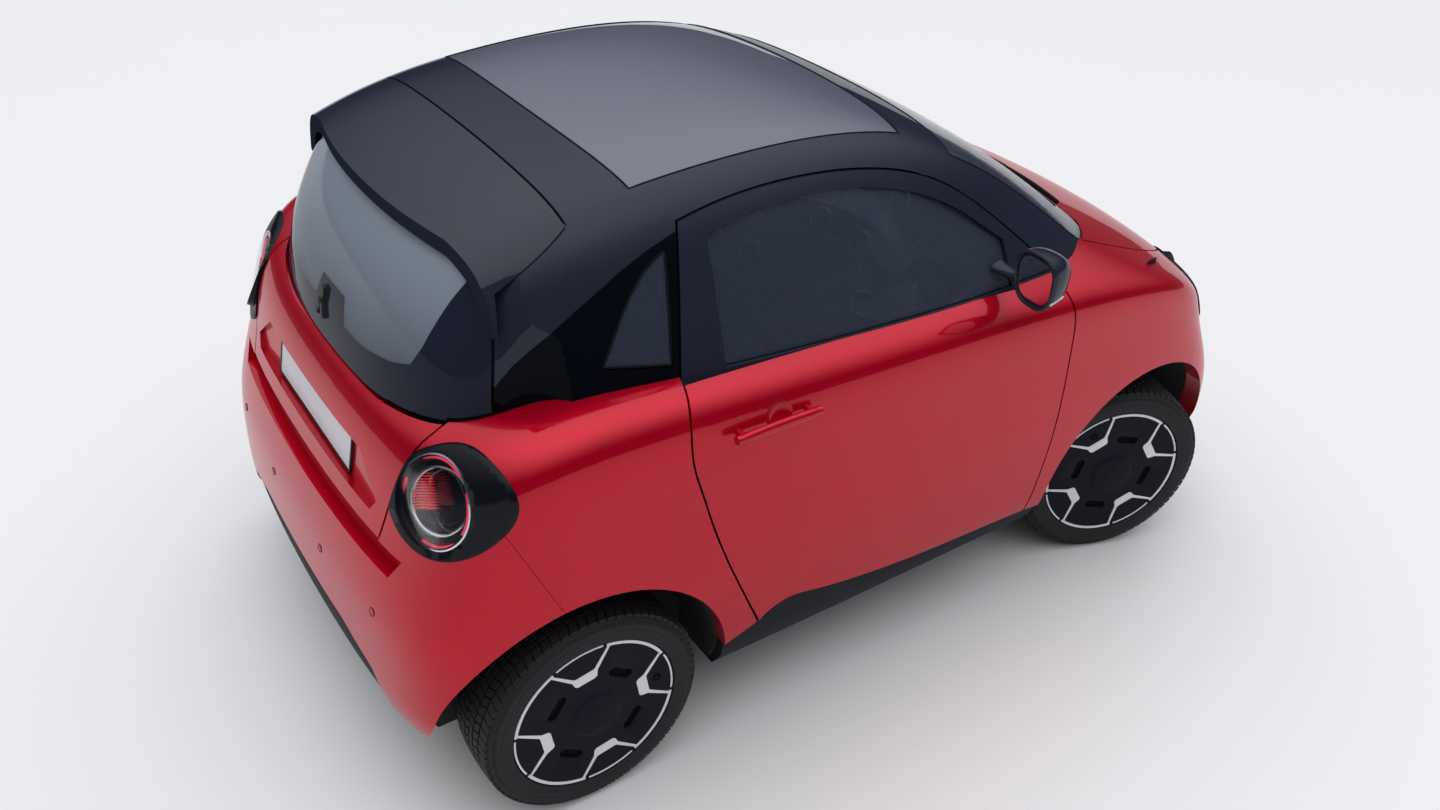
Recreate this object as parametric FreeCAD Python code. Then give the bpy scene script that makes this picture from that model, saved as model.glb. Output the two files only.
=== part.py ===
import FreeCAD, Part
import math
import os

V = FreeCAD.Vector
SIDES = {"left": 1, "right": -1}

# Overall sizes of the car
REAR_REACH = 1400.0
FRONT_REACH = 1408.0
HALF_WIDTH = 838.0
BELT_HEIGHT = 1095.0
ROOF_HEIGHT = 1545.0
ROOF_HALF_WIDTH = 630.0
WHEELBASE = 1872.0
REAR_AXLE_X = -965.0
FRONT_AXLE_X = REAR_AXLE_X + WHEELBASE
WHEEL_PLANE_Y = 720.0

# Walls, gaps and running clearances
SKIN = 42.0
PILLAR_WALL = 36.0
GLASS_SINK = 1.2
GLASS_WALL = 5.0
SEAT_GAP = 0.3
PANEL_GAP = 0.9
DOOR_GAP = 5.5
HATCH_GAP = 6.0
OVERRUN = 900.0

# Tyre and wheel
TYRE_RADIUS = 296.0
TYRE_WIDTH = 185.0
RIM_RADIUS = 222.0
BEAD_RADIUS = 203.0
RIM_WIDTH = 168.0
BARREL_RADIUS = 188.0
HUB_RADIUS = 62.0
SPINDLE_RADIUS = 26.0
RUN_CLEARANCE = 0.6

# Steering and arches
KINGPIN_Y = 670.0
STEER_REST_DEG = -19.2
ARCH_RADIUS = 372.0
ARCH_RISE = 12.0
LINER_LAP = 6.0
LINER_WALL = 9.0
LINER_RADIUS = ARCH_RADIUS + LINER_LAP - LINER_WALL
LINER_INNER_Y = 432.0
REAR_LINER_INNER_Y = 600.0

# Doors
DOOR_HINGE_X = 518.0
DOOR_HINGE_Y = 842.0
DOOR_INNER_Y = 700.0
LINING_FOOT_Z = 448.0
SILL_RELIEF_X = -425.0
SILL_RELIEF_DEG = (2.0, 4.0, 6.0)
DOOR_LINING_Y = 748.0
DOOR_DRAFT_SHARE = 0.28
DOOR_DRAFT_START_X = -150.0
SIDE_SLOPE_SHARE = 0.57

# Outline of the lower body seen from above, from tail to nose, as shares of reach and half width
OUTLINE_SHARES = [
    (-1.0, 0.0), (-0.998, 0.27), (-0.991, 0.54), (-0.974, 0.80), (-0.912, 0.945), (-0.76, 0.99),
    (-0.5, 1.0), (-0.2, 1.005), (0.1, 1.0), (0.4, 0.997), (0.66, 0.995), (0.84, 0.98),
    (0.945, 0.915), (0.985, 0.72), (0.997, 0.37), (1.0, 0.0),
]

# Levels of the lower body, as shares of the rear reach, half width and front reach,
# then heights at the tail, the side and the nose as shares of the belt height,
# then how much of the belt's rake and of the rear corners' pull each one takes
LEVEL_SHARES = [
    (0.972, 0.912, 0.950, 0.215, 0.215, 0.215, 0.0, 0.0),
    (1.010, 0.972, 1.000, 0.272, 0.262, 0.262, 0.0, 0.0),
    (1.006, 0.986, 1.008, 0.400, 0.400, 0.380, 0.0, 0.0),
    (1.001, 0.998, 0.972, 0.560, 0.560, 0.520, 0.0, 0.1),
    (0.962, 0.994, 0.920, 0.700, 0.715, 0.640, 0.0, 0.3),
    (0.946, 0.996, 0.895, 0.788, 0.815, 0.740, 0.0, 0.5),
    (0.933, 1.000, 0.875, 0.865, 0.895, 0.810, 0.3, 0.72),
    (0.912, 0.985, 0.830, 0.918, 0.972, 0.868, 0.9, 0.95),
    (0.885, 0.880, 0.720, 0.950, 1.008, 0.935, 1.0, 0.95),
    (0.750, 0.650, 0.470, 1.030, 1.030, 1.030, 0.0, 0.6),
]
TAIL_POWER = 10
NOSE_POWER = 4
BELT_RAKE = 0.055
NOSE_CROWN = 50.0
CORNER_PULL = 140.0

# Greenhouse stations from tail to windscreen foot: place as a share of the front reach,
# crown height as a share of the roof height, cant rail and foot as shares of the half widths
ROOF_STATION_SHARES = [
    (-0.970, 0.855, 0.84, 0.800, 0.67),
    (-0.860, 0.897, 0.88, 0.842, 0.74),
    (-0.750, 0.940, 0.91, 0.882, 0.825),
    (-0.610, 0.974, 0.94, 0.918, 0.895),
    (-0.430, 0.995, 0.955, 0.942, 0.94),
    (-0.180, 1.004, 0.965, 0.950, 0.95),
    (0.035, 0.987, 0.965, 0.925, 0.95),
    (0.214, 0.932, 0.975, 0.858, 0.945),
    (0.393, 0.838, 0.985, 0.752, 0.930),
    (0.571, 0.716, 0.985, 0.640, 0.900),
    (0.680, 0.640, 0.960, 0.575, 0.850),
]
FOOT_Z = 985.0
CUT_Z = 1035.0
CUT_DROP = 60.0
FOOT_SLOPE_X = 470.0
FOOT_SLOPE_DROP = 88.0
TALL = 2 * ROOF_HEIGHT
FAR = 2 * REAR_REACH

# Rear window: plan curve of the glass as shares of the half width and of its bow,
# and its upright profile as heights from the foot and places forward of it
GLASS_CURVE_SHARES = [(0.0, 0.0), (0.28, 0.06), (0.48, 0.28), (0.62, 0.62), (0.70, 1.05),
                      (0.74, 1.7), (0.77, 2.5), (0.90, 2.8), (1.10, 2.9)]
GLASS_FOOT_X = -1243.0
GLASS_FOOT_Z = 1020.0
GLASS_BOW = 120.0
GLASS_RISE = 370.0
GLASS_LEAN = 165.0
GLASS_PROFILE_SHARES = [(-0.55, -0.28), (-0.2, -0.12), (0.2, 0.04), (0.6, 0.36), (1.0, 0.98), (1.5, 2.0)]

# Smallest solid that a cut may leave
MIN_SOLID = 300.0


def mirrored(shape):
    return shape.mirror(V(0, 0, 0), V(0, 1, 0))


def both_sides(shape):
    return [shape, mirrored(shape)]


def on_side(shape, sign):
    """The shape is drawn for the left side; the right one is its mirror image."""
    return shape if sign > 0 else mirrored(shape)


def solids_of(*shapes):
    found = []
    for shape in shapes:
        if isinstance(shape, (list, tuple)):
            found += solids_of(*shape)
        else:
            found += [s for s in shape.Solids if abs(s.Volume) > MIN_SOLID]
    return found


def save(name, *shapes):
    solids = solids_of(*shapes)
    result = solids[0] if len(solids) == 1 else Part.makeCompound(solids)
    result.exportStep(os.path.join("parts", name + ".step"))
    bad = [s.isValid() for s in solids].count(False)
    print(name, "solids", len(solids), "not valid", bad, "litres", round(result.Volume / 1e6, 2))


def run_edges(runs, place):
    """Runs share their end points: two points make a line, more make a smooth curve."""
    edges = []
    for run in runs:
        spots = [place(p) for p in run]
        if len(spots) == 2:
            edges.append(Part.makeLine(spots[0], spots[1]))
        else:
            curve = Part.BSplineCurve()
            curve.interpolate(spots)
            edges.append(curve.toShape())
    return edges


def side_prism(runs, y_from, y_to):
    wire = Part.Wire(run_edges(runs, lambda p: V(p[0], y_from, p[1])))
    return Part.Face(wire).extrude(V(0, y_to - y_from, 0))


def plan_prism(runs, z_from, z_to):
    wire = Part.Wire(run_edges(runs, lambda p: V(p[0], p[1], z_from)))
    return Part.Face(wire).extrude(V(0, 0, z_to - z_from))


def front_prism(runs, x_from, x_to):
    wire = Part.Wire(run_edges(runs, lambda p: V(x_from, p[0], p[1])))
    return Part.Face(wire).extrude(V(x_to - x_from, 0, 0))


def poly(*points):
    """A closed outline of straight runs through the points."""
    return [(points[i], points[(i + 1) % len(points)]) for i in range(len(points))]


def moved(runs, dx, dz):
    return [[(p[0] + dx, p[1] + dz) for p in run] for run in runs]


def box(x0, x1, y0, y1, z0, z1):
    return Part.makeBox(x1 - x0, y1 - y0, z1 - z0, V(x0, y0, z0))


def tube_y(x, z, outer, inner, y0, y1):
    body = Part.makeCylinder(outer, y1 - y0, V(x, y0, z), V(0, 1, 0))
    return body.cut(Part.makeCylinder(inner, y1 - y0, V(x, y0, z), V(0, 1, 0))) if inner > 0 else body


def rod(start, end, radius):
    a, b = V(*start), V(*end)
    return Part.makeCylinder(radius, (b - a).Length, a, b - a)


def body_ring(level, inset, sink):
    rear, side, front, rear_z, side_z, front_z, rake, pull = level
    half = []
    for x_share, y_share in OUTLINE_SHARES:
        reach = REAR_REACH * rear if x_share < 0 else FRONT_REACH * front
        x = x_share * (reach - inset)
        y = y_share * (HALF_WIDTH * side - inset)
        x -= math.copysign(pull * CORNER_PULL * x_share ** 6 * y_share ** 4, x_share)
        end = (-x_share) ** TAIL_POWER if x_share < 0 else x_share ** NOSE_POWER
        end_z = rear_z if x_share < 0 else front_z
        z = BELT_HEIGHT * (side_z * (1 - end) + end_z * end) - sink
        if rake > 0:
            z -= rake * BELT_RAKE * x * (1 - end)
            if x_share > 0:
                z -= NOSE_CROWN * end * y_share ** 2
        half.append((x, y, z))
    other = [(x, -y, z) for x, y, z in half[-2:0:-1]]
    return [V(*p) for p in half + other]


def lower_body(inset=0.0):
    """Closed body from the sills to the belt; an inset one reaches lower, so it opens the bottom."""
    top = len(LEVEL_SHARES) - 4
    rows = []
    for k, level in enumerate(LEVEL_SHARES):
        sink = inset if k >= top or k == 0 else 0.0
        rows.append(body_ring(level, inset, sink))
    n, m = len(rows[0]), len(rows)
    poles = [[rows[j][i] for j in range(m)] for i in range(n)]
    surface = Part.BSplineSurface()
    surface.buildFromPolesMultsKnots(
        poles, [1] * (n + 1), [4] + [1] * (m - 4) + [4],
        [float(k) for k in range(n + 1)], [float(k) for k in range(m - 2)], True, False, 3, 3)
    caps = [Part.Face(Part.Wire([surface.vIso(v).toShape()])) for v in (0.0, float(m - 3))]
    shell = Part.makeShell([surface.toShape()] + caps)
    shell.sewShape(0.01)
    solid = Part.makeSolid(shell.Shells[0])
    if solid.Volume < 0:
        solid.reverse()
    return solid


def net_face(net):
    """An open cubic surface through a net of control points."""
    n, m = len(net), len(net[0])
    surface = Part.BSplineSurface()
    surface.buildFromPolesMultsKnots(
        net, [4] + [1] * (n - 4) + [4], [4] + [1] * (m - 4) + [4],
        [float(k) for k in range(n - 2)], [float(k) for k in range(m - 2)], False, False, 3, 3)
    return surface.toShape()


def greenhouse(inset, floor_z):
    """The glazed upper body as a solid, flat below at the given height."""
    net = []
    for x_share, crown, cant_y, cant_z, foot in ROOF_STATION_SHARES:
        top = crown * ROOF_HEIGHT - inset
        rail_y = cant_y * ROOF_HALF_WIDTH - inset
        rail_z = cant_z * ROOF_HEIGHT - inset
        foot_y = foot * HALF_WIDTH - inset
        side = [
            (foot_y, FOOT_Z), (0.55 * foot_y + 0.45 * rail_y, 0.55 * FOOT_Z + 0.45 * rail_z),
            (rail_y, rail_z), (0.86 * rail_y, 0.30 * rail_z + 0.70 * top),
            (0.50 * rail_y, 0.06 * rail_z + 0.94 * top),
        ]
        points = [(-y, z) for y, z in side] + [(0.0, top)] + [(y, z) for y, z in reversed(side)]
        net.append([V(x_share * FRONT_REACH, y, z) for y, z in points])
    solid = net_face(net).extrude(V(0, 0, -OVERRUN))
    dip = FOOT_SLOPE_DROP
    keep = side_prism(poly((-FAR, floor_z), (FOOT_SLOPE_X, floor_z), (FRONT_AXLE_X, floor_z - dip),
                           (FAR, floor_z - dip), (FAR, TALL), (-FAR, TALL)), -OVERRUN, OVERRUN)
    return solid.common(keep).Solids[0]


def behind_glass(forward=0.0):
    """Everything behind the rear window, moved forward by the given amount."""
    half = [(GLASS_BOW * bow, HALF_WIDTH * y) for y, bow in GLASS_CURVE_SHARES]
    points = [(x, -y) for x, y in half[:0:-1]] + half
    net = []
    for up, lean in GLASS_PROFILE_SHARES:
        z = GLASS_FOOT_Z + up * GLASS_RISE
        shift = GLASS_FOOT_X + forward + lean * GLASS_LEAN
        net.append([V(x + shift, y, z) for x, y in points])
    return net_face(net).extrude(V(-2 * OVERRUN, 0, 0))



# Places that several pieces share
WHEEL_Z = TYRE_RADIUS
CABIN_HALF = 598.0
SILL_TOP = 330.0
FLOOR_Z = 262.0
FLOOR_WALL = 26.0

# Door outline seen from the side: rear seam, roof line, windscreen pillar, front seam and sill line
DOOR_REAR = [(-498.0, 380.0), (-554.0, 514.0), (-610.0, 657.0), (-650.0, 776.0), (-679.0, 877.0),
             (-703.0, 967.0), (-706.0, 1045.0), (-690.0, 1110.0)]
DOOR_PILLAR = [(-690.0, 1110.0), (-604.0, 1432.0)]
DOOR_ROOF = [(-604.0, 1432.0), (-450.0, 1455.0), (-260.0, 1460.0), (-60.0, 1436.0), (130.0, 1376.0),
             (325.0, 1242.0), (484.0, 1096.0)]
DOOR_FRONT = [(484.0, 1096.0), (501.0, 930.0), (509.0, 770.0), (502.0, 600.0), (487.0, 460.0), (466.0, 322.0)]
DOOR_SILL = [(466.0, 322.0), (260.0, 336.0), (0.0, 354.0), (-200.0, 382.0), (-330.0, 408.0), (-412.0, 420.0),
             (-460.0, 406.0), (-498.0, 380.0)]

# Side glass and quarter glass seen from the side
DOOR_GLASS = [
    [(-556.0, 1120.0), (-540.0, 1395.0)],
    [(-540.0, 1395.0), (-430.0, 1418.0), (-250.0, 1424.0), (-70.0, 1402.0), (100.0, 1346.0), (270.0, 1240.0)],
    [(270.0, 1240.0), (345.0, 1183.0)],
    [(345.0, 1183.0), (340.0, 1074.0)],
    [(340.0, 1074.0), (-556.0, 1120.0)],
]
QUARTER_GLASS = [
    [(-682.0, 1150.0), (-846.0, 1178.0)],
    [(-846.0, 1178.0), (-790.0, 1262.0), (-735.0, 1330.0), (-640.0, 1394.0)],
    [(-640.0, 1394.0), (-682.0, 1150.0)],
]

# Roof panel and windscreen outlines seen from above and from the front
ROOF_GLASS_HALF = 500.0
ROOF_GLASS_REAR_X = -668.0
ROOF_GLASS_FRONT_X = 105.0
ROOF_GLASS_BOW = 45.0
SCREEN_TOP_X = 262.0
SCREEN_TOP_BOW = 62.0
SCREEN_TOP_HALF = 520.0
SCREEN_FOOT_HALF = 640.0
SCREEN_FLANGE = 26.0

# Tailgate: line of its gap in the roof, down the rear pillar and beside the lamps
HATCH_ROOF_X = -840.0
HATCH_PILLAR = [(-840.0, TALL), (-840.0, 1456.0), (-1026.0, 1362.0), (-1040.0, 1290.0), (-1066.0, 1160.0), (-1072.0, 1118.0)]
HATCH_HALF = 528.0
HATCH_FOOT_HALF = 470.0
HATCH_FOOT_Z = 776.0
HATCH_AXIS_X = -846.0
HATCH_AXIS_Z = 1518.0
SPOILER_CORNER = 14.0
SPOILER_TAIL = [(-1060.0, 395.0), (-1088.0, 230.0), (-1100.0, 0.0)]

# Bonnet seen from above, and the seam of the front bumper
BONNET_REAR = [(728.0, 612.0), (790.0, 560.0), (835.0, 420.0), (858.0, 220.0), (866.0, 0.0)]
BONNET_SIDE = [(728.0, 612.0), (905.0, 640.0), (1060.0, 622.0), (1168.0, 540.0)]
BONNET_NOSE = [(1168.0, 540.0), (1214.0, 400.0), (1238.0, 210.0), (1246.0, 0.0)]

# Lamps
REAR_LAMP = (-1190.0, 630.0, 945.0)
REAR_LAMP_HALVES = (182.0, 114.0)
HEAD_LAMP = (1188.0, 610.0, 798.0)
HEAD_LAMP_HALVES = (144.0, 106.0)

# Seams of the bumpers, edges of the sills and of the black lower trim
REAR_SEAM = [(-1145.0, 922.0), (-1020.0, 640.0)]
FRONT_SEAM = [(1110.0, 1000.0), (1150.0, 760.0), (1090.0, 560.0)]
PANEL_FOOT_Z = 296.0
SILL_REAR_X = -700.0
SILL_FRONT_X = 640.0
SILL_INNER_Y = 640.0
SLOT = [(-575.0, 770.0), (-540.0, 712.0), (0.0, 706.0), (540.0, 712.0), (575.0, 770.0), (0.0, 770.0)]
SLOT_DEPTH = 33.0
TRIM_SINK = 7.0
DIFFUSER = [(-820.0, 258.0), (-640.0, 266.0), (-545.0, 292.0), (-470.0, 395.0), (-300.0, 430.0),
            (300.0, 430.0), (470.0, 395.0), (545.0, 292.0), (640.0, 266.0), (820.0, 258.0)]
GRILLE = [(-820.0, 258.0), (-580.0, 268.0), (-500.0, 440.0), (500.0, 440.0), (580.0, 268.0), (820.0, 258.0)]
GRILLE_SLOT = 16.0
GRILLE_PITCH = 30.0
GRILLE_HALF = 400.0
PLATE_RECESS = [(-335.0, 118.0), (335.0, 118.0), (440.0, 36.0), (415.0, 0.0), (-415.0, 0.0), (-440.0, 36.0)]
PLATE_X = -1306.0
PLATE_Z = 815.0
PLATE_LEAN = 12.0
SEAL_GAP = 8.0

# Lamps: round housings let into the corners
REAR_LAMP_LEAN = 26.0
REAR_LAMP_RISE = 18.0
HEAD_LAMP_LEAN = 36.0
HEAD_LAMP_RISE = 12.0
LAMP_REACH = 190.0
LAMP_BACK = 80.0
HEAD_LAMP_BACK = 48.0
LAMP_CROWN = 4.0

# Cabin and underside
HATCH_SHOULDER_Z = 1050.0
HATCH_TOP_Z = 1150.0
HATCH_INNER_X = -1084.0
BONNET_LOW = 700.0
BONNET_HINGE = (660.0, 1060.0)
# How far the bonnet and the tailgate reach from their hinge lines, by distance from the middle:
# their inner faces follow these arcs, so that they swing past the panels beside them.
BONNET_SWING = [(0.0, 625.0), (100.0, 622.5), (200.0, 615.0), (300.0, 605.0), (400.0, 588.0), (450.0, 574.5),
                (500.0, 557.0), (540.0, 539.0), (560.0, 524.0), (580.0, 503.0), (600.0, 476.0), (610.0, 459.5),
                (620.0, 439.0), (630.0, 412.5), (645.0, 385.0)]
TAIL_HINGE = (-1352.0, 776.0)
TAIL_SWING = [(0.0, 276.0), (100.0, 276.0), (200.0, 277.5), (300.0, 281.5), (400.0, 290.0), (450.0, 296.5),
              (500.0, 306.0), (560.0, 322.0)]
TAIL_LIP = 3.5
BONNET_LIP = 9.0
SWING_EASE = 9.0
# The foot of the hatch's lower corners, which pass over the tailgate's edge as the hatch lifts
HATCH_CORNER = [(300.0, 1034.0), (350.0, 1045.0), (400.0, 1050.0), (450.0, 1057.0), (500.0, 1065.0), (535.0, 1073.0)]
HATCH_CORNER_LOW = 900.0
FIREWALL_X = 560.0
FIREWALL_LEAN = 115.0
SEAT_BASE_LEAN = 120.0
CARGO_HALF = 586.0
FIREWALL_TOP_Z = 925.0
CARGO_Z = 640.0
SEAT_BASE_X = -470.0
TAIL_WALL_X = -1190.0

DOOR_GLASS_SINK = 9.0
RING_OPENING = [(-430.0, 1090.0), (430.0, 1090.0), (390.0, 1345.0), (-390.0, 1345.0)]
MIRROR_BOX = (238.0, 318.0, 836.0, 962.0, 1116.0, 1270.0)
MIRROR_ROUND = 38.0
MIRROR_FOOT = (345.0, 700.0, 1118.0)
MIRROR_ROOT = (282.0, 868.0, 1160.0)
MIRROR_STALK = 16.0
HANDLE_X = (-610.0, -375.0)
HANDLE_Y = 861.0
HANDLE_Z = 1014.0
HANDLE_RADIUS = 11.0
HANDLE_DEPTH = 40.0
CUP_X = -475.0
CUP_RADIUS = 46.0
CUP_OFFSET = 22.0

# Wheel cover, hub and knuckle
RIM_LIP = 10.0
COVER_WALL = 8.0
HUB_INNER_Y = 6.0
HUB_PROUD = 4.0
SPOKES = 4
RIB_SPREAD_DEG = 24.0
RIB_FOOT = 96.0
RIB_NODE = 128.0
RIB_WIDTH = 20.0
RIB_ARM = 16.0
SLOT_LENGTH = 78.0
SLOT_WIDTH = 24.0
SLOT_AT = 98.0
KNUCKLE_HALF = 70.0
KNUCKLE_WALL = 16.0
KINGPIN_RADIUS = 15.0
KINGPIN_REACH = 112.0
STEER_ARM = 130.0
ARM_WALL = 22.0
ARM_HALF = 24.0
SUBFRAME_HALF = 400.0
LINER_OUTER_Y = HALF_WIDTH
LINER_HOLE = 200.0
LINER_DROP = 60.0
TUNNEL_HALF = LINER_INNER_Y - LINER_WALL - SEAT_GAP
BATTERY_HALF = 560.0
BATTERY_Z = 158.0
MOTOR_X = (-1190.0, -1010.0)
MOTOR_HALF = 260.0
MOTOR_Z = (235.0, CARGO_Z - FLOOR_WALL)
AXLE_RADIUS = 34.0
AXLE_END_Y = 640.0
DAMPER_Y = 500.0
DAMPER_RADIUS = 38.0
DASH = [(365.0, 770.0), (345.0, 880.0), (395.0, 955.0), (520.0, 1000.0), (660.0, 972.0), (640.0, 770.0)]
DASH_HALF = 672.0
DASH_LEG = 90.0
STEER_WHEEL_AT = (195.0, 345.0, 905.0)
STEER_WHEEL_RADIUS = 178.0
STEER_WHEEL_GRIP = 15.0
STEER_COLUMN_DEG = 24.0
COLUMN_LENGTH = 150.0
SEAT_Y = 345.0
SEAT_HALF = 240.0
SEAT_FOOT_X = (-400.0, -60.0)
SEAT_LINE = [(-505.0, 400.0), (-60.0, 395.0), (30.0, 470.0), (-40.0, 540.0), (-330.0, 520.0), (-480.0, 1180.0), (-600.0, 1190.0)]
LINING_X = (-1120.0, -700.0)
LINING_TOP_Z = 1010.0
COWL_X = 665.0
COWL_HALF = 611.0
COWL_Z = FIREWALL_TOP_Z + SEAT_GAP

os.makedirs("parts", exist_ok=True)

BODY = lower_body()
BODY_IN = lower_body(SKIN)
ROOF = greenhouse(0.0, CUT_Z)
BEHIND = behind_glass()
ROOF_CUT = greenhouse(-SEAT_GAP, CUT_Z).cut(behind_glass(-SEAT_GAP))
ROOF_IN = greenhouse(PILLAR_WALL, CUT_Z - CUT_DROP)
ROOF_POCKET = greenhouse(GLASS_SINK + GLASS_WALL + SEAT_GAP, CUT_Z - CUT_DROP)
ROOF_GLASS_IN = greenhouse(GLASS_SINK + GLASS_WALL, CUT_Z - CUT_DROP)
ROOF_GLASS_OUT = greenhouse(GLASS_SINK, CUT_Z)
SHELL = BODY.cut([BODY_IN, ROOF_CUT])
SHELL_SOLID = BODY.cut(ROOF_CUT)


def arch_tools(x):
    cut = tube_y(x, WHEEL_Z + ARCH_RISE, ARCH_RADIUS, 0, LINER_INNER_Y - LINER_WALL, OVERRUN)
    return both_sides(cut)


def skin_y(z):
    """Half width of the outer skin near the door's rear seam."""
    return HALF_WIDTH if z < CUT_Z else HALF_WIDTH - (z - CUT_Z) * SIDE_SLOPE_SHARE


def door_cutter(gap):
    """Side outline of the door, grown by a gap, whose rear edge leans inwards towards the cabin."""
    wires = []
    for y in (OVERRUN, DOOR_INNER_Y - 4 * CUT_DROP):
        rear = [(x + DOOR_DRAFT_SHARE * (skin_y(z) - y) - gap, z) for x, z in DOOR_REAR]
        rear[0] = (rear[0][0], rear[0][1] - gap)
        top_x, top_z = DOOR_PILLAR[1]
        pillar = [rear[-1], (top_x + DOOR_DRAFT_SHARE * (skin_y(top_z) - y) - gap, top_z + gap)]
        roof = [pillar[1]] + [(x, z + gap) for x, z in DOOR_ROOF[1:-1]]
        roof.append((DOOR_FRONT[0][0] + gap, DOOR_FRONT[0][1] + gap))
        front = [roof[-1]] + [(x + gap, z) for x, z in DOOR_FRONT[1:-1]]
        front.append((DOOR_FRONT[-1][0] + gap, DOOR_FRONT[-1][1] - gap))
        lean = DOOR_DRAFT_SHARE * (HALF_WIDTH - y)
        span = DOOR_DRAFT_START_X - DOOR_REAR[0][0]
        sill = [(x + lean * max(0.0, DOOR_DRAFT_START_X - x) / span, z - gap) for x, z in DOOR_SILL[1:-1]]
        sill = [front[-1]] + sill + [rear[0]]
        runs = [rear, pillar, roof, front, sill]
        wires.append(Part.Wire(run_edges(runs, lambda p, y=y: V(p[0], y, p[1]))))
    return Part.makeLoft(wires, True, True)


def hatch_tools(gap):
    """Rooms of the glass hatch, over the full width down to the belt, and of the tailgate between the lamps."""
    pillar = [(x + gap, z) for x, z in HATCH_PILLAR]
    last = (pillar[-1][0], CUT_Z)
    runs = [pillar[:2], pillar[1:3], pillar[2:], [pillar[-1], last], [last, (-FAR, CUT_Z)],
            [(-FAR, CUT_Z), (-FAR, TALL)], [(-FAR, TALL), pillar[0]]]
    high = side_prism(runs, -OVERRUN, OVERRUN)
    half, foot = HATCH_HALF + gap, HATCH_FOOT_HALF + gap
    low = front_prism(poly((half, HATCH_TOP_Z), (half, HATCH_SHOULDER_Z), (foot, HATCH_FOOT_Z - gap),
                           (-foot, HATCH_FOOT_Z - gap), (-half, HATCH_SHOULDER_Z), (-half, HATCH_TOP_Z)),
                      -FAR, HATCH_INNER_X)
    return high, low


def bonnet_prism(gap):
    rear = [(x - gap, y + gap) for x, y in BONNET_REAR]
    side = [rear[0]] + [(x, y + gap) for x, y in BONNET_SIDE[1:-1]]
    nose = [(x + gap, y + gap) for x, y in BONNET_NOSE]
    side.append(nose[0])
    rear[-1] = (rear[-1][0], 0.0)
    nose[-1] = (nose[-1][0], 0.0)
    nose_all = nose + [(x, -y) for x, y in nose[-2::-1]]
    rear_all = [(x, -y) for x, y in rear[:-1]] + rear[::-1]
    runs = [side, nose_all, [(x, -y) for x, y in reversed(side)], rear_all]
    return plan_prism(runs, BONNET_LOW, TALL)


def swing_room(hinge, reach_at, ease=0.0):
    """What lies within reach of a hinge line along Y, the reach given by distance from the middle."""
    reach = [(y, radius - ease) for y, radius in reach_at]
    right = [V(hinge[0] + radius, -y, hinge[1]) for y, radius in reversed(reach[1:])]
    edge = Part.BSplineCurve()
    edge.interpolate(right + [V(hinge[0] + radius, y, hinge[1]) for y, radius in reach])
    ends = [V(hinge[0], y, hinge[1]) for y in (reach[-1][0], -reach[-1][0])]
    sides = Part.makePolygon([edge.EndPoint] + ends + [edge.StartPoint])
    return Part.Face(Part.Wire([edge.toShape()] + sides.Edges)).revolve(V(hinge[0], 0, hinge[1]), V(0, 1, 0), 360)


def lamp_tool(spot, halves, grow, lean_deg, rise_deg, back, front, way):
    """An oval barrel that points rearwards or forwards and a little outwards; its outer end rises."""
    oval = Part.Ellipse(V(0, 0, 0), halves[0] + grow, halves[1] + grow).toShape()
    barrel = Part.Face(Part.Wire([oval])).extrude(V(0, 0, back + front))
    barrel.translate(V(0, 0, -back))
    barrel.rotate(V(0, 0, 0), V(1, 0, 0), 90)
    barrel.rotate(V(0, 0, 0), V(0, 1, 0), -rise_deg)
    barrel.rotate(V(0, 0, 0), V(0, 0, 1), 90)
    if way < 0:
        barrel = barrel.mirror(V(0, 0, 0), V(1, 0, 0))
    barrel.rotate(V(0, 0, 0), V(0, 0, 1), way * lean_deg)
    barrel.translate(V(*spot))
    return barrel


DOOR_ROOM = door_cutter(DOOR_GAP)
DOOR_ROOMS = both_sides(DOOR_ROOM)
DOOR_SHAPE = door_cutter(0.0)
HATCH_ROOM, TAILGATE_ROOM = hatch_tools(HATCH_GAP)
HATCH, TAILGATE_ZONE = hatch_tools(0.0)
OVER_BODY = lower_body(-HATCH_GAP).cut(box(-FAR, FAR, -HATCH_HALF, HATCH_HALF, 0, TALL))
BONNET_ROOM = bonnet_prism(DOOR_GAP)
ARCHES = arch_tools(REAR_AXLE_X) + arch_tools(FRONT_AXLE_X)
REAR_LAMP_SET = (REAR_LAMP_LEAN, REAR_LAMP_RISE, LAMP_BACK, LAMP_REACH, -1)
HEAD_LAMP_SET = (HEAD_LAMP_LEAN, HEAD_LAMP_RISE, HEAD_LAMP_BACK, LAMP_REACH, 1)
REAR_LAMP_ROOM = lamp_tool(REAR_LAMP, REAR_LAMP_HALVES, SEAT_GAP, *REAR_LAMP_SET)
HEAD_LAMP_ROOM = lamp_tool(HEAD_LAMP, HEAD_LAMP_HALVES, SEAT_GAP, *HEAD_LAMP_SET)
LAMP_ROOMS = both_sides(REAR_LAMP_ROOM) + both_sides(HEAD_LAMP_ROOM)


def rear_zone(gap):
    (top_x, top_z), (foot_x, foot_z) = REAR_SEAM
    return side_prism(poly((-FAR, -OVERRUN), (foot_x + gap, -OVERRUN), (foot_x + gap, foot_z),
                           (top_x + gap, top_z + gap), (-FAR, top_z + gap)), -OVERRUN, OVERRUN)


def front_zone(gap):
    (top_x, top_z), (mid_x, mid_z), (foot_x, foot_z) = FRONT_SEAM
    return side_prism(poly((FAR, -OVERRUN), (foot_x - gap, -OVERRUN), (foot_x - gap, foot_z),
                           (mid_x - gap, mid_z), (top_x - gap, top_z), (top_x - gap, TALL), (FAR, TALL)),
                      -OVERRUN, OVERRUN)


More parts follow.
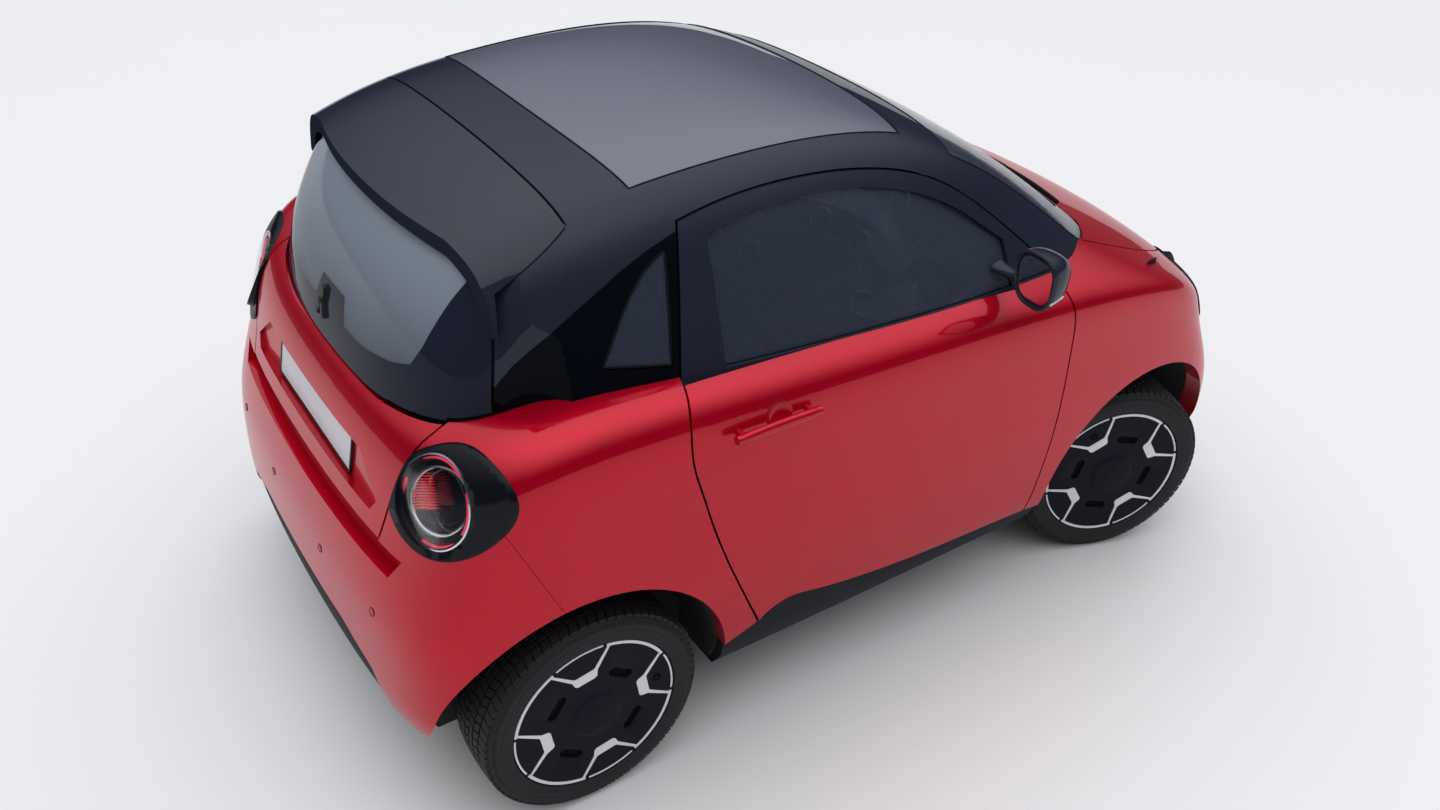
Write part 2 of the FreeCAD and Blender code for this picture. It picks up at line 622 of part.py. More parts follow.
# Sills below the doors
sill_line = DOOR_SILL
sill_zone = side_prism([[(SILL_FRONT_X, PANEL_FOOT_Z), sill_line[0]], sill_line,
                        [sill_line[-1], (SILL_REAR_X, PANEL_FOOT_Z)],
                        [(SILL_REAR_X, PANEL_FOOT_Z), (SILL_REAR_X, 0.0)],
                        [(SILL_REAR_X, 0.0), (SILL_FRONT_X, 0.0)],
                        [(SILL_FRONT_X, 0.0), (SILL_FRONT_X, PANEL_FOOT_Z)]], SILL_INNER_Y, OVERRUN)
liner_rooms = [tube_y(x, WHEEL_Z + ARCH_RISE, LINER_RADIUS + LINER_WALL + SEAT_GAP, 0, LINER_INNER_Y, HALF_WIDTH - SKIN)
               for x in (REAR_AXLE_X, FRONT_AXLE_X)]
sill = lower_body(TRIM_SINK).common(sill_zone).cut(ARCHES + liner_rooms + [DOOR_ROOM])
for angle in SILL_RELIEF_DEG:
    opening = DOOR_ROOM.copy()
    opening.rotate(V(DOOR_HINGE_X, DOOR_HINGE_Y, 0), V(0, 0, 1), -angle)
    sill = sill.cut(opening.common(box(-FAR, SILL_RELIEF_X, 0, OVERRUN, 0, TALL)))
save("sills", both_sides(sill))

# Painted panels
LOW_BAND = box(-FAR, FAR, -OVERRUN, OVERRUN, -OVERRUN, PANEL_FOOT_Z)
quarter = SHELL.common(box(-FAR, DOOR_REAR[0][0] - DOOR_GAP, 0, OVERRUN, 0, TALL))
quarter = quarter.cut([DOOR_ROOM, rear_zone(PANEL_GAP), LOW_BAND, sill_zone, LAMP_ROOMS[0], TAILGATE_ROOM] + ARCHES)
fender = SHELL.common(box(DOOR_FRONT[-1][0], FAR, 0, OVERRUN, 0, TALL))
scuttle_half = BONNET_REAR[0][1] + PANEL_GAP
scuttle = box(0, BONNET_REAR[-1][0] + 2 * SKIN, -scuttle_half, scuttle_half, COWL_Z, TALL)
fender = fender.cut([DOOR_ROOM, front_zone(PANEL_GAP), BONNET_ROOM, LOW_BAND, sill_zone, LAMP_ROOMS[2], scuttle] + ARCHES)
for side, sign in SIDES.items():
    save("quarter_" + side, on_side(quarter, sign))
    save("fender_" + side, on_side(fender, sign))
bonnet_swept = lower_body(BONNET_LIP).cut(swing_room(BONNET_HINGE, BONNET_SWING, SWING_EASE))
save("bonnet", SHELL.common(bonnet_prism(0.0)).cut(bonnet_swept))


def trim_band(points):
    """Region below a line drawn in the front view."""
    outline = list(points) + [(points[-1][0], 0.0), (points[0][0], 0.0)]
    return front_prism(poly(*outline), -FAR, FAR)


BELOW_DIFFUSER = trim_band(DIFFUSER)
BELOW_GRILLE = trim_band(GRILLE)
slot = front_prism(poly(*SLOT), -FAR, HATCH_INNER_X).cut(lower_body(SLOT_DEPTH))
rear_bumper = SHELL.common(rear_zone(0.0))
rear_bumper = rear_bumper.cut([BELOW_DIFFUSER, slot, TAILGATE_ROOM] + LAMP_ROOMS[:2] + ARCHES)
save("rear_bumper", rear_bumper)
front_bumper = SHELL.common(front_zone(0.0))
front_bumper = front_bumper.cut([BELOW_GRILLE, BONNET_ROOM] + LAMP_ROOMS[2:] + ARCHES)
save("front_bumper", front_bumper)

TRIM_SHELL = lower_body(TRIM_SINK).cut(BODY_IN)
save("rear_diffuser", TRIM_SHELL.common(rear_zone(0.0)).common(BELOW_DIFFUSER).cut(ARCHES))
grille = TRIM_SHELL.common(front_zone(0.0)).common(BELOW_GRILLE).cut(ARCHES)
slots = [box(0, FAR, -GRILLE_HALF, GRILLE_HALF, z, z + GRILLE_SLOT)
         for z in [GRILLE[1][1] + GRILLE_PITCH * (k + 1) for k in range(4)]]
save("front_grille", grille.cut(slots))

tailgate = SHELL.common(TAILGATE_ZONE)
seal_room = greenhouse(-HATCH_GAP, CUT_Z - HATCH_GAP).cut(behind_glass(-SEAL_GAP))
plate_room = front_prism(poly(*PLATE_RECESS), -OVERRUN, 0.0)
plate_room.rotate(V(0, 0, 0), V(0, 1, 0), PLATE_LEAN)
plate_room.translate(V(PLATE_X, 0, PLATE_Z))
swept = lower_body(TAIL_LIP).cut(swing_room(TAIL_HINGE, TAIL_SWING))
tailgate = tailgate.cut([plate_room, seal_room, swept])
save("tailgate", tailgate)

# Upper body: glossy frame, glass and tailgate window
def screen_prism(grow):
    """Room of the windscreen: a trapezium from the front, bowed at its upper edge from above."""
    front = front_prism(poly((-SCREEN_FOOT_HALF - grow, CUT_Z - 2 * CUT_DROP), (SCREEN_FOOT_HALF + grow, CUT_Z - 2 * CUT_DROP),
                             (SCREEN_TOP_HALF + grow, ROOF_HEIGHT), (-SCREEN_TOP_HALF - grow, ROOF_HEIGHT)), 0, FAR)
    top = SCREEN_TOP_X - grow
    bow = [(top - SCREEN_TOP_BOW, -OVERRUN), (top, 0.0), (top - SCREEN_TOP_BOW, OVERRUN)]
    plan = plan_prism([bow, [bow[-1], (FAR, OVERRUN)], [(FAR, OVERRUN), (FAR, -OVERRUN)],
                       [(FAR, -OVERRUN), bow[0]]], 0, TALL)
    return front.common(plan)


def roof_panel_prism(grow):
    rear, front, half = ROOF_GLASS_REAR_X - grow, ROOF_GLASS_FRONT_X + grow, ROOF_GLASS_HALF + grow
    nose = [(front, half), (front + ROOF_GLASS_BOW, 0.0), (front, -half)]
    tail = [(rear, -half), (rear - ROOF_GLASS_BOW / 3, 0.0), (rear, half)]
    return plan_prism([nose, [nose[-1], tail[0]], tail, [tail[-1], nose[0]]], CUT_Z, TALL)


def quarter_prism(shrink):
    middle_x = sum(p[0] for run in QUARTER_GLASS for p in run) / sum(len(run) for run in QUARTER_GLASS)
    middle_z = sum(p[1] for run in QUARTER_GLASS for p in run) / sum(len(run) for run in QUARTER_GLASS)
    runs = [[(middle_x + (x - middle_x) * shrink, middle_z + (z - middle_z) * shrink) for x, z in run]
            for run in QUARTER_GLASS]
    return both_sides(side_prism(runs, ROOF_HALF_WIDTH / 2, OVERRUN))


FLANGE_SHARE = 0.86
glass_rooms = [screen_prism(0.0), roof_panel_prism(0.0)] + quarter_prism(1.0)
through = [screen_prism(-SCREEN_FLANGE), roof_panel_prism(-SCREEN_FLANGE)] + quarter_prism(FLANGE_SHARE)
glass_layer = ROOF_GLASS_OUT.cut(ROOF_GLASS_IN)
frame_shell = ROOF.cut([ROOF_IN, BEHIND])
roof_frame = frame_shell.cut([room.cut(ROOF_POCKET) for room in glass_rooms] + through)
roof_frame = roof_frame.cut(DOOR_ROOMS + [HATCH_ROOM, BONNET_ROOM] + both_sides(fender))
save("roof_frame", roof_frame)
save("windscreen", glass_layer.common(screen_prism(-PANEL_GAP)).cut(BONNET_ROOM))
save("roof_glass", glass_layer.common(roof_panel_prism(-PANEL_GAP)))
save("quarter_glasses", [glass_layer.common(p) for p in quarter_prism(1.0 - GLASS_WALL / PANEL_GAP / 100)])

# Tailgate window, its frame and the spoiler
GLASS_MARGIN = 34.0
spoiler_line = SPOILER_TAIL + [(x, -y) for x, y in SPOILER_TAIL[-2::-1]]
corner_x = HATCH_PILLAR[2][0] - SPOILER_CORNER
spoiler_plan = plan_prism([spoiler_line, [spoiler_line[-1], (corner_x, -ROOF_HALF_WIDTH)],
                           [(corner_x, -ROOF_HALF_WIDTH), (0, -ROOF_HALF_WIDTH)],
                           [(0, -ROOF_HALF_WIDTH), (0, ROOF_HALF_WIDTH)],
                           [(0, ROOF_HALF_WIDTH), (corner_x, ROOF_HALF_WIDTH)],
                           [(corner_x, ROOF_HALF_WIDTH), spoiler_line[0]]], CUT_Z, TALL)
spoiler = ROOF.cut(ROOF_IN).common(HATCH).common(spoiler_plan)
under_spoiler = spoiler_plan.cut(greenhouse(PILLAR_WALL + SEAT_GAP, CUT_Z - CUT_DROP))
glass = ROOF.common(behind_glass(GLASS_WALL)).cut([BEHIND, under_spoiler, OVER_BODY]).common(HATCH)
ring = ROOF.common(behind_glass(PILLAR_WALL)).cut([behind_glass(GLASS_WALL + SEAT_GAP), under_spoiler])
ring = ring.common(HATCH).cut([front_prism(poly(*RING_OPENING), -FAR, HATCH_ROOF_X), OVER_BODY])
low_corner = [(HATCH_CORNER[-1][0], HATCH_CORNER_LOW), (HATCH_CORNER[0][0], HATCH_CORNER_LOW)]
hatch_corners = both_sides(front_prism(poly(*(HATCH_CORNER + low_corner)), -FAR, HATCH_INNER_X))
save("spoiler", spoiler)
save("tailgate_frame", ring.cut(hatch_corners))
save("tailgate_glass", glass.cut(hatch_corners))

# Doors: painted panel, black frame with its lining, and glass
door_red = SHELL_SOLID.common(DOOR_SHAPE).common(box(-FAR, FAR, DOOR_LINING_Y, OVERRUN, 0, TALL))
door_top = ROOF.cut(ROOF_IN).common(DOOR_SHAPE).common(box(-FAR, FAR, 0, OVERRUN, 0, TALL))
glass_runs = side_prism(DOOR_GLASS, ROOF_HALF_WIDTH / 2, OVERRUN)
door_frame = door_top.cut(glass_runs)
lining = BODY.common(DOOR_SHAPE).common(box(-FAR, FAR, DOOR_INNER_Y, DOOR_LINING_Y - SEAT_GAP, LINING_FOOT_Z, CUT_Z))
window = greenhouse(DOOR_GLASS_SINK, CUT_Z).cut(greenhouse(DOOR_GLASS_SINK + GLASS_WALL, CUT_Z - CUT_DROP))
window = window.common(side_prism(DOOR_GLASS, ROOF_HALF_WIDTH / 2, OVERRUN))
head = box(*MIRROR_BOX)
round_edges = [e for e in head.Edges if e.BoundBox.XMax > MIRROR_BOX[0] + 1]
mirror_head = head.makeFillet(MIRROR_ROUND, round_edges)
stalk = rod(MIRROR_FOOT, MIRROR_ROOT, MIRROR_STALK).cut([greenhouse(-SEAT_GAP, CUT_Z), lower_body(-SEAT_GAP)])
mirror = mirror_head.fuse(stalk)
handle_bar = rod((HANDLE_X[0], HANDLE_Y, HANDLE_Z), (HANDLE_X[1], HANDLE_Y, HANDLE_Z), HANDLE_RADIUS)
feet = [rod((x, HANDLE_Y - HANDLE_DEPTH, HANDLE_Z), (x, HANDLE_Y, HANDLE_Z), HANDLE_RADIUS * 0.8)
        for x in (HANDLE_X[0] + 2 * HANDLE_RADIUS, HANDLE_X[1] - 2 * HANDLE_RADIUS)]
cup = Part.makeSphere(CUP_RADIUS, V(CUP_X, HALF_WIDTH + CUP_OFFSET, HANDLE_Z + HANDLE_RADIUS))
door_red = door_red.cut(cup).fuse([handle_bar] + feet)
for side, sign in SIDES.items():
    save("door_" + side, on_side(door_red, sign))
    save("door_frame_" + side, on_side(door_frame, sign), on_side(lining, sign))
    save("door_glass_" + side, on_side(window, sign))
    save("mirror_" + side, on_side(mirror, sign))

# Lamps
rear_lamp = lamp_tool(REAR_LAMP, REAR_LAMP_HALVES, 0.0, *REAR_LAMP_SET)
rear_lamp = rear_lamp.common(lower_body(-LAMP_CROWN))
save("rear_lamps", both_sides(rear_lamp.cut(TAILGATE_ROOM)))
head_lamp = lamp_tool(HEAD_LAMP, HEAD_LAMP_HALVES, 0.0, *HEAD_LAMP_SET)
head_lamp = head_lamp.common(lower_body(-LAMP_CROWN))
save("headlamps", both_sides(head_lamp.cut(BONNET_ROOM)))


# Wheels: tyre, rim with its cover, all drawn round the Y axis on the left side
def spun(profile):
    """A ring turned about the Y axis from points (radius, y)."""
    wire = Part.Wire(run_edges(profile, lambda p: V(p[0], p[1], 0)))
    return Part.Face(wire).revolve(V(0, 0, 0), V(0, 1, 0), 360)


def tyre_solid():
    half = TYRE_WIDTH / 2
    rim_half = RIM_WIDTH / 2
    side_bulge = [(BEAD_RADIUS, rim_half), (TYRE_RADIUS * 0.80, half), (TYRE_RADIUS * 0.92, half * 0.97),
                  (TYRE_RADIUS * 0.985, half * 0.80)]
    tread = [side_bulge[-1], (TYRE_RADIUS, 0.0), (side_bulge[-1][0], -side_bulge[-1][1])]
    other = [(r, -y) for r, y in reversed(side_bulge)]
    rim_y = RIM_WIDTH / 2
    room = spun(poly((0.0, rim_y - SEAT_GAP), (RIM_RADIUS - RIM_LIP + SEAT_GAP, rim_y - SEAT_GAP),
                     (RIM_RADIUS - RIM_LIP + SEAT_GAP, TYRE_WIDTH), (0.0, TYRE_WIDTH)))
    return spun([side_bulge, tread, other, [other[-1], side_bulge[0]]]).cut(room)


def rim_solid():
    half = RIM_WIDTH / 2
    barrel = spun(poly((BARREL_RADIUS, -half), (BEAD_RADIUS - SEAT_GAP, -half), (BEAD_RADIUS - SEAT_GAP, half),
                       (RIM_RADIUS - RIM_LIP, half), (RIM_RADIUS - RIM_LIP, half + RIM_LIP),
                       (BARREL_RADIUS, half + RIM_LIP)))
    cover = spun(poly((SPINDLE_RADIUS + RUN_CLEARANCE, half - COVER_WALL), (BARREL_RADIUS + RIM_LIP, half - COVER_WALL),
                      (BARREL_RADIUS + RIM_LIP, half), (SPINDLE_RADIUS + RUN_CLEARANCE, half)))
    hub = spun(poly((SPINDLE_RADIUS + RUN_CLEARANCE, HUB_INNER_Y), (HUB_RADIUS, HUB_INNER_Y),
                    (HUB_RADIUS, half + HUB_PROUD), (0.0, half + HUB_PROUD), (0.0, half),
                    (SPINDLE_RADIUS + RUN_CLEARANCE, half)))
    ribs, holes = [], []
    for k in range(SPOKES):
        turn = 360.0 / SPOKES * k
        stem = front_rib()
        stem.rotate(V(0, 0, 0), V(0, 1, 0), turn)
        ribs.append(stem)
        hole = Part.makeBox(SLOT_LENGTH, 4 * COVER_WALL, SLOT_WIDTH, V(-SLOT_LENGTH / 2, half - 2 * COVER_WALL, SLOT_AT))
        hole.rotate(V(0, 0, 0), V(0, 1, 0), turn + 180.0 / SPOKES)
        holes.append(hole)
    return barrel.fuse([cover, hub] + ribs).cut(holes)


def front_rib():
    """One forked rib of the wheel cover, pointing up."""
    half = RIM_WIDTH / 2
    spread = math.radians(RIB_SPREAD_DEG)
    tip = BARREL_RADIUS + RIM_LIP / 2
    left = (tip * math.sin(spread), tip * math.cos(spread))
    points = [(RIB_WIDTH, RIB_FOOT), (RIB_WIDTH * 1.2, RIB_NODE), (left[0] + RIB_ARM / 2, left[1]),
              (left[0] - RIB_ARM / 2, left[1] + RIB_ARM / 3), (0.0, RIB_NODE + RIB_ARM)]
    outline = points + [(-x, z) for x, z in points[-2::-1]]
    face = Part.Face(Part.Wire(run_edges(poly(*outline), lambda p: V(p[0], half - SEAT_GAP, p[1]))))
    return face.extrude(V(0, RIM_LIP * 0.6, 0))


tyre, rim = tyre_solid(), rim_solid()
knuckle = Part.makeCylinder(SPINDLE_RADIUS, RIM_WIDTH / 2 + WHEEL_PLANE_Y - KINGPIN_Y - 2 * RUN_CLEARANCE,
                            V(0, KINGPIN_Y - WHEEL_PLANE_Y, 0), V(0, 1, 0))
carrier = Part.makeCylinder(KNUCKLE_HALF, 2 * KNUCKLE_WALL, V(0, KINGPIN_Y - WHEEL_PLANE_Y - KNUCKLE_WALL, 0), V(0, 1, 0))
pin = Part.makeCylinder(KINGPIN_RADIUS, 2 * KINGPIN_REACH, V(0, KINGPIN_Y - WHEEL_PLANE_Y, -KINGPIN_REACH))
steer_arm = box(-STEER_ARM, 0, KINGPIN_Y - WHEEL_PLANE_Y - 2 * KNUCKLE_WALL, KINGPIN_Y - WHEEL_PLANE_Y, -KNUCKLE_WALL, KNUCKLE_WALL)
knuckle = knuckle.fuse([carrier, pin, steer_arm])


def at_wheel(shape, x, sign, turn_deg):
    """Places a left wheel piece at its axle, mirrored for the right side and turned about its kingpin."""
    placed = shape.copy()
    placed.translate(V(x, WHEEL_PLANE_Y, WHEEL_Z))
    placed = on_side(placed, sign)
    if turn_deg:
        placed.rotate(V(x, sign * KINGPIN_Y, 0), V(0, 0, 1), turn_deg)
    return placed


for end, x in (("front", FRONT_AXLE_X), ("rear", REAR_AXLE_X)):
    for side, sign in SIDES.items():
        turn_deg = STEER_REST_DEG if end == "front" else 0.0
        save("tyre_" + end + "_" + side, at_wheel(tyre, x, sign, turn_deg))
        save("wheel_" + end + "_" + side, at_wheel(rim, x, sign, turn_deg))
        if end == "front":
            save("knuckle_" + side, at_wheel(knuckle, x, sign, turn_deg))


# Wheel arch liners, which end just inside the painted panels
LINER_ROOM = lower_body(SKIN + SEAT_GAP)


def liner(x, inner_y):
    z = WHEEL_Z + ARCH_RISE
    outer = LINER_RADIUS + LINER_WALL
    bow = tube_y(x, z, outer, LINER_RADIUS, inner_y, LINER_OUTER_Y)
    wall = tube_y(x, z, outer, LINER_HOLE, inner_y - LINER_WALL, inner_y)
    low = box(x - outer, x + outer, 0, OVERRUN, -OVERRUN, z - LINER_DROP)
    return bow.fuse(wall).cut(low).common(LINER_ROOM)


save("wheel_liners", both_sides(liner(FRONT_AXLE_X, LINER_INNER_Y)) + both_sides(liner(REAR_AXLE_X, REAR_LINER_INNER_Y)))

# Underbody
wall = FLOOR_WALL
floor_top = [(TAIL_WALL_X, CARGO_Z), (SEAT_BASE_X - SEAT_BASE_LEAN, CARGO_Z), (SEAT_BASE_X, FLOOR_Z),
             (FIREWALL_X, FLOOR_Z), (FIREWALL_X + FIREWALL_LEAN, FIREWALL_TOP_Z)]
shifts = [(0, -wall), (-wall, -wall), (-wall, -wall), (wall, -wall), (wall, 0)]
floor_low = [(x + dx, z + dz) for (x, z), (dx, dz) in zip(floor_top, shifts)]
floor = side_prism(poly(*(floor_top + floor_low[::-1])), -TUNNEL_HALF, TUNNEL_HALF)
rear_floor = side_prism(poly(*(floor_top[:3] + floor_low[2::-1])), -CARGO_HALF, CARGO_HALF)
wide_floor = box(SEAT_BASE_X - wall, SILL_FRONT_X - 2 * CUT_DROP, -SILL_INNER_Y, SILL_INNER_Y, FLOOR_Z - wall, FLOOR_Z)
floor = floor.fuse([rear_floor, wide_floor])
save("floor_pan", floor)
save("battery_pack", box(SEAT_BASE_X, FIREWALL_X - 2 * CUT_DROP, -BATTERY_HALF, BATTERY_HALF, BATTERY_Z, FLOOR_Z - FLOOR_WALL))
save("drive_motor", box(MOTOR_X[0], MOTOR_X[1], -MOTOR_HALF, MOTOR_HALF, MOTOR_Z[0], MOTOR_Z[1]))
axle_tube = rod((REAR_AXLE_X, -AXLE_END_Y, WHEEL_Z), (REAR_AXLE_X, AXLE_END_Y, WHEEL_Z), AXLE_RADIUS)
spindles = both_sides(rod((REAR_AXLE_X, AXLE_END_Y, WHEEL_Z), (REAR_AXLE_X, WHEEL_PLANE_Y + RIM_WIDTH / 2 - 2 * RUN_CLEARANCE, WHEEL_Z), SPINDLE_RADIUS))
dampers = both_sides(rod((REAR_AXLE_X, DAMPER_Y, WHEEL_Z), (REAR_AXLE_X, DAMPER_Y, CARGO_Z - FLOOR_WALL - SEAT_GAP), DAMPER_RADIUS))
save("rear_axle", axle_tube.fuse(spindles + dampers))
arm_z = WHEEL_Z - KINGPIN_REACH - ARM_WALL - RUN_CLEARANCE
arms = []
for sign in SIDES.values():
    for z in (arm_z, WHEEL_Z + KINGPIN_REACH + RUN_CLEARANCE):
        arms.append(on_side(box(FRONT_AXLE_X - ARM_HALF, FRONT_AXLE_X + ARM_HALF, SUBFRAME_HALF, KINGPIN_Y + KINGPIN_RADIUS, z, z + ARM_WALL), sign))
wall_lean = FIREWALL_LEAN * (WHEEL_Z + KINGPIN_REACH + 2 * ARM_WALL - FLOOR_Z) / (FIREWALL_TOP_Z - FLOOR_Z)
cross = box(FIREWALL_X + FLOOR_WALL + wall_lean + SEAT_GAP, FRONT_AXLE_X + 2 * ARM_HALF, -SUBFRAME_HALF, SUBFRAME_HALF, arm_z, WHEEL_Z + KINGPIN_REACH + ARM_WALL + RUN_CLEARANCE)
save("front_subframe", cross.fuse(arms))

# Cabin
dash = side_prism([[DASH[0], DASH[1]], DASH[1:5], [DASH[4], DASH[5]], [DASH[5], DASH[0]]], -DASH_HALF, DASH_HALF)
legs = [box(DASH[0][0] + CUT_DROP, DASH[5][0], -DASH_LEG, DASH_LEG, FLOOR_Z + SEAT_GAP, DASH[0][1])]
grow = FIREWALL_LEAN / (FIREWALL_TOP_Z - FLOOR_Z)
beyond = side_prism(poly((FIREWALL_X - SEAT_GAP, FLOOR_Z), (FIREWALL_X - SEAT_GAP + grow * OVERRUN, FLOOR_Z + OVERRUN),
                         (FAR, FLOOR_Z + OVERRUN), (FAR, FLOOR_Z)), -TUNNEL_HALF - PANEL_GAP, TUNNEL_HALF + PANEL_GAP)
save("dashboard", dash.fuse(legs).cut(beyond))
wheel_ring = Part.makeTorus(STEER_WHEEL_RADIUS, STEER_WHEEL_GRIP)
spokes = Part.makeBox(2 * STEER_WHEEL_RADIUS, 4 * STEER_WHEEL_GRIP, 2 * STEER_WHEEL_GRIP,
                      V(-STEER_WHEEL_RADIUS, -2 * STEER_WHEEL_GRIP, -STEER_WHEEL_GRIP))
boss = Part.makeCylinder(3.4 * STEER_WHEEL_GRIP, COLUMN_LENGTH, V(0, 0, -COLUMN_LENGTH + STEER_WHEEL_GRIP))
steering = wheel_ring.fuse([spokes, boss])
steering.rotate(V(0, 0, 0), V(0, 0, 1), 90)
steering.rotate(V(0, 0, 0), V(0, 1, 0), -90 + STEER_COLUMN_DEG)
steering.translate(V(*STEER_WHEEL_AT))
save("steering_wheel", steering)
seat_foot = box(SEAT_FOOT_X[0], SEAT_FOOT_X[1], SEAT_Y - SEAT_HALF / 2, SEAT_Y + SEAT_HALF / 2, FLOOR_Z, SEAT_LINE[0][1] + CUT_DROP)
cushion = side_prism([SEAT_LINE[0:3], SEAT_LINE[2:5], SEAT_LINE[4:7], [SEAT_LINE[6], SEAT_LINE[0]]], SEAT_Y - SEAT_HALF, SEAT_Y + SEAT_HALF).fuse(seat_foot)
for side, sign in SIDES.items():
    save("seat_" + side, on_side(cushion, sign))
lining_wall = box(LINING_X[0], LINING_X[1], CARGO_HALF - LINER_WALL, CARGO_HALF, CARGO_Z, LINING_TOP_Z)
save("cabin_lining", both_sides(lining_wall))
cowl = lower_body(TRIM_SINK).cut([ROOF_CUT, BONNET_ROOM])
cowl = cowl.common(box(COWL_X, BONNET_REAR[-1][0], -COWL_HALF, COWL_HALF, COWL_Z, CUT_Z))
save("cowl", cowl)
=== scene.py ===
# The microcar dressed for its picture, built up over the frame from the floor to the cabin.
import bmesh
import bpy
from math import copysign, cos, exp, pi, radians, sin, sqrt
from mathutils import Matrix, Vector
from mathutils.bvhtree import BVHTree


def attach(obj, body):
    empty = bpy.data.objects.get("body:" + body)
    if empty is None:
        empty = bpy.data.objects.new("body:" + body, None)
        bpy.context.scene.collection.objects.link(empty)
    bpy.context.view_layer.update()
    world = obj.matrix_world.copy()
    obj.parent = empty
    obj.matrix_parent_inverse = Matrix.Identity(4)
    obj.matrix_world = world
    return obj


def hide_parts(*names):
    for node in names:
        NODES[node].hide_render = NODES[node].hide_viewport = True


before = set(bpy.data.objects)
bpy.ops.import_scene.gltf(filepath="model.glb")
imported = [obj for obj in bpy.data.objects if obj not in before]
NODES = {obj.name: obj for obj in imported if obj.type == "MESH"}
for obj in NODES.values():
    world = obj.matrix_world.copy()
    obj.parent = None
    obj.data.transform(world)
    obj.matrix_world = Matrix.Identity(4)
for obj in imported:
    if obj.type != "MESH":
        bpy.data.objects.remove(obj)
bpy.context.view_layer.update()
SIDES = {"left": 1, "right": -1}

# ---- Studio ----
# A pale cove floor under one large soft ceiling that leans away beyond the car, in a hall with
# dim walls, and the camera on a ladder behind the rear right corner.
IMAGE_WIDTH = 1440
FOCAL_PX = 1260.44
SENSOR_MM = 36.0
CAMERA_AT = Vector((-1.9185, -2.7229, 2.6491))
CAMERA_AZ, CAMERA_EL, CAMERA_ROLL = [radians(a) for a in (55.891, -34.084, 1.346)]
FLOOR_HALF = 40.0
SKY_AT = Vector((0.05, 0.07, 1.0)).normalized()
SKY_EDGE = (0.22, 1.0)
SKY_DARK = (0.03, 0.033, 0.045, 1)
SKY_BRIGHT = (1.72, 1.76, 1.88, 1)

scene = bpy.context.scene
ahead = Vector((cos(CAMERA_EL) * cos(CAMERA_AZ), cos(CAMERA_EL) * sin(CAMERA_AZ), sin(CAMERA_EL)))
aside = ahead.cross(Vector((0, 0, 1))).normalized()
above = aside.cross(ahead)
right = cos(CAMERA_ROLL) * aside + sin(CAMERA_ROLL) * above
up = cos(CAMERA_ROLL) * above - sin(CAMERA_ROLL) * aside
camera_data = bpy.data.cameras.new("camera")
camera_data.sensor_width = SENSOR_MM
camera_data.lens = SENSOR_MM * FOCAL_PX / IMAGE_WIDTH
camera = bpy.data.objects.new("camera", camera_data)
camera.matrix_world = Matrix.Translation(CAMERA_AT) @ Matrix((right, up, -ahead)).transposed().to_4x4()
scene.collection.objects.link(camera)
scene.camera = camera
scene.view_settings.view_transform = "Standard"


def added(tree, kind, inputs=None, **settings):
    """A node with these settings; each input is linked from a socket or set to a plain value."""
    node = tree.nodes.new(kind)
    for name, value in settings.items():
        setattr(node, name, value)
    for key, value in (inputs or {}).items():
        if isinstance(value, bpy.types.NodeSocket):
            tree.links.new(value, node.inputs[key])
        else:
            node.inputs[key].default_value = value
    return node


def math_node(tree, operation, *values, clamp=False):
    """The output of a Math node fed by sockets or plain numbers."""
    return added(tree, "ShaderNodeMath", dict(enumerate(values)), operation=operation,
        use_clamp=clamp).outputs[0]


def mixed(tree, factor, low, high):
    """The colour between these two, as far as the factor says."""
    return added(tree, "ShaderNodeMix", {"Factor": factor, "A": low, "B": high},
        data_type="RGBA").outputs["Result"]


def faded(tree, value, ends, **settings):
    """How far the value has come between these two ends."""
    return added(tree, "ShaderNodeMapRange", {"Value": value, "From Min": ends[0], "From Max": ends[1]},
        **settings).outputs["Result"]


world = bpy.data.worlds.new("hall")
world.use_nodes = True
hall = world.node_tree
looking = added(hall, "ShaderNodeTexCoord").outputs["Generated"]
facing = added(hall, "ShaderNodeVectorMath", {0: looking, 1: SKY_AT},
    operation="DOT_PRODUCT").outputs["Value"]
sky = mixed(hall, faded(hall, facing, SKY_EDGE, interpolation_type="SMOOTHSTEP"), SKY_DARK, SKY_BRIGHT)
hall.links.new(sky, hall.nodes["Background"].inputs["Color"])
scene.world = world


def effect_group(name, inputs, outputs):
    """A shader node group with named inputs (floats with their defaults, or colours) and outputs."""
    group = bpy.data.node_groups.new(name, "ShaderNodeTree")
    for label, value in inputs.items():
        kind = "NodeSocketColor" if isinstance(value, tuple) else "NodeSocketFloat"
        group.interface.new_socket(label, in_out="INPUT", socket_type=kind).default_value = value
    for label, kind in outputs.items():
        group.interface.new_socket(label, in_out="OUTPUT", socket_type=kind)
    return group, group.nodes.new("NodeGroupInput").outputs, group.nodes.new("NodeGroupOutput").inputs


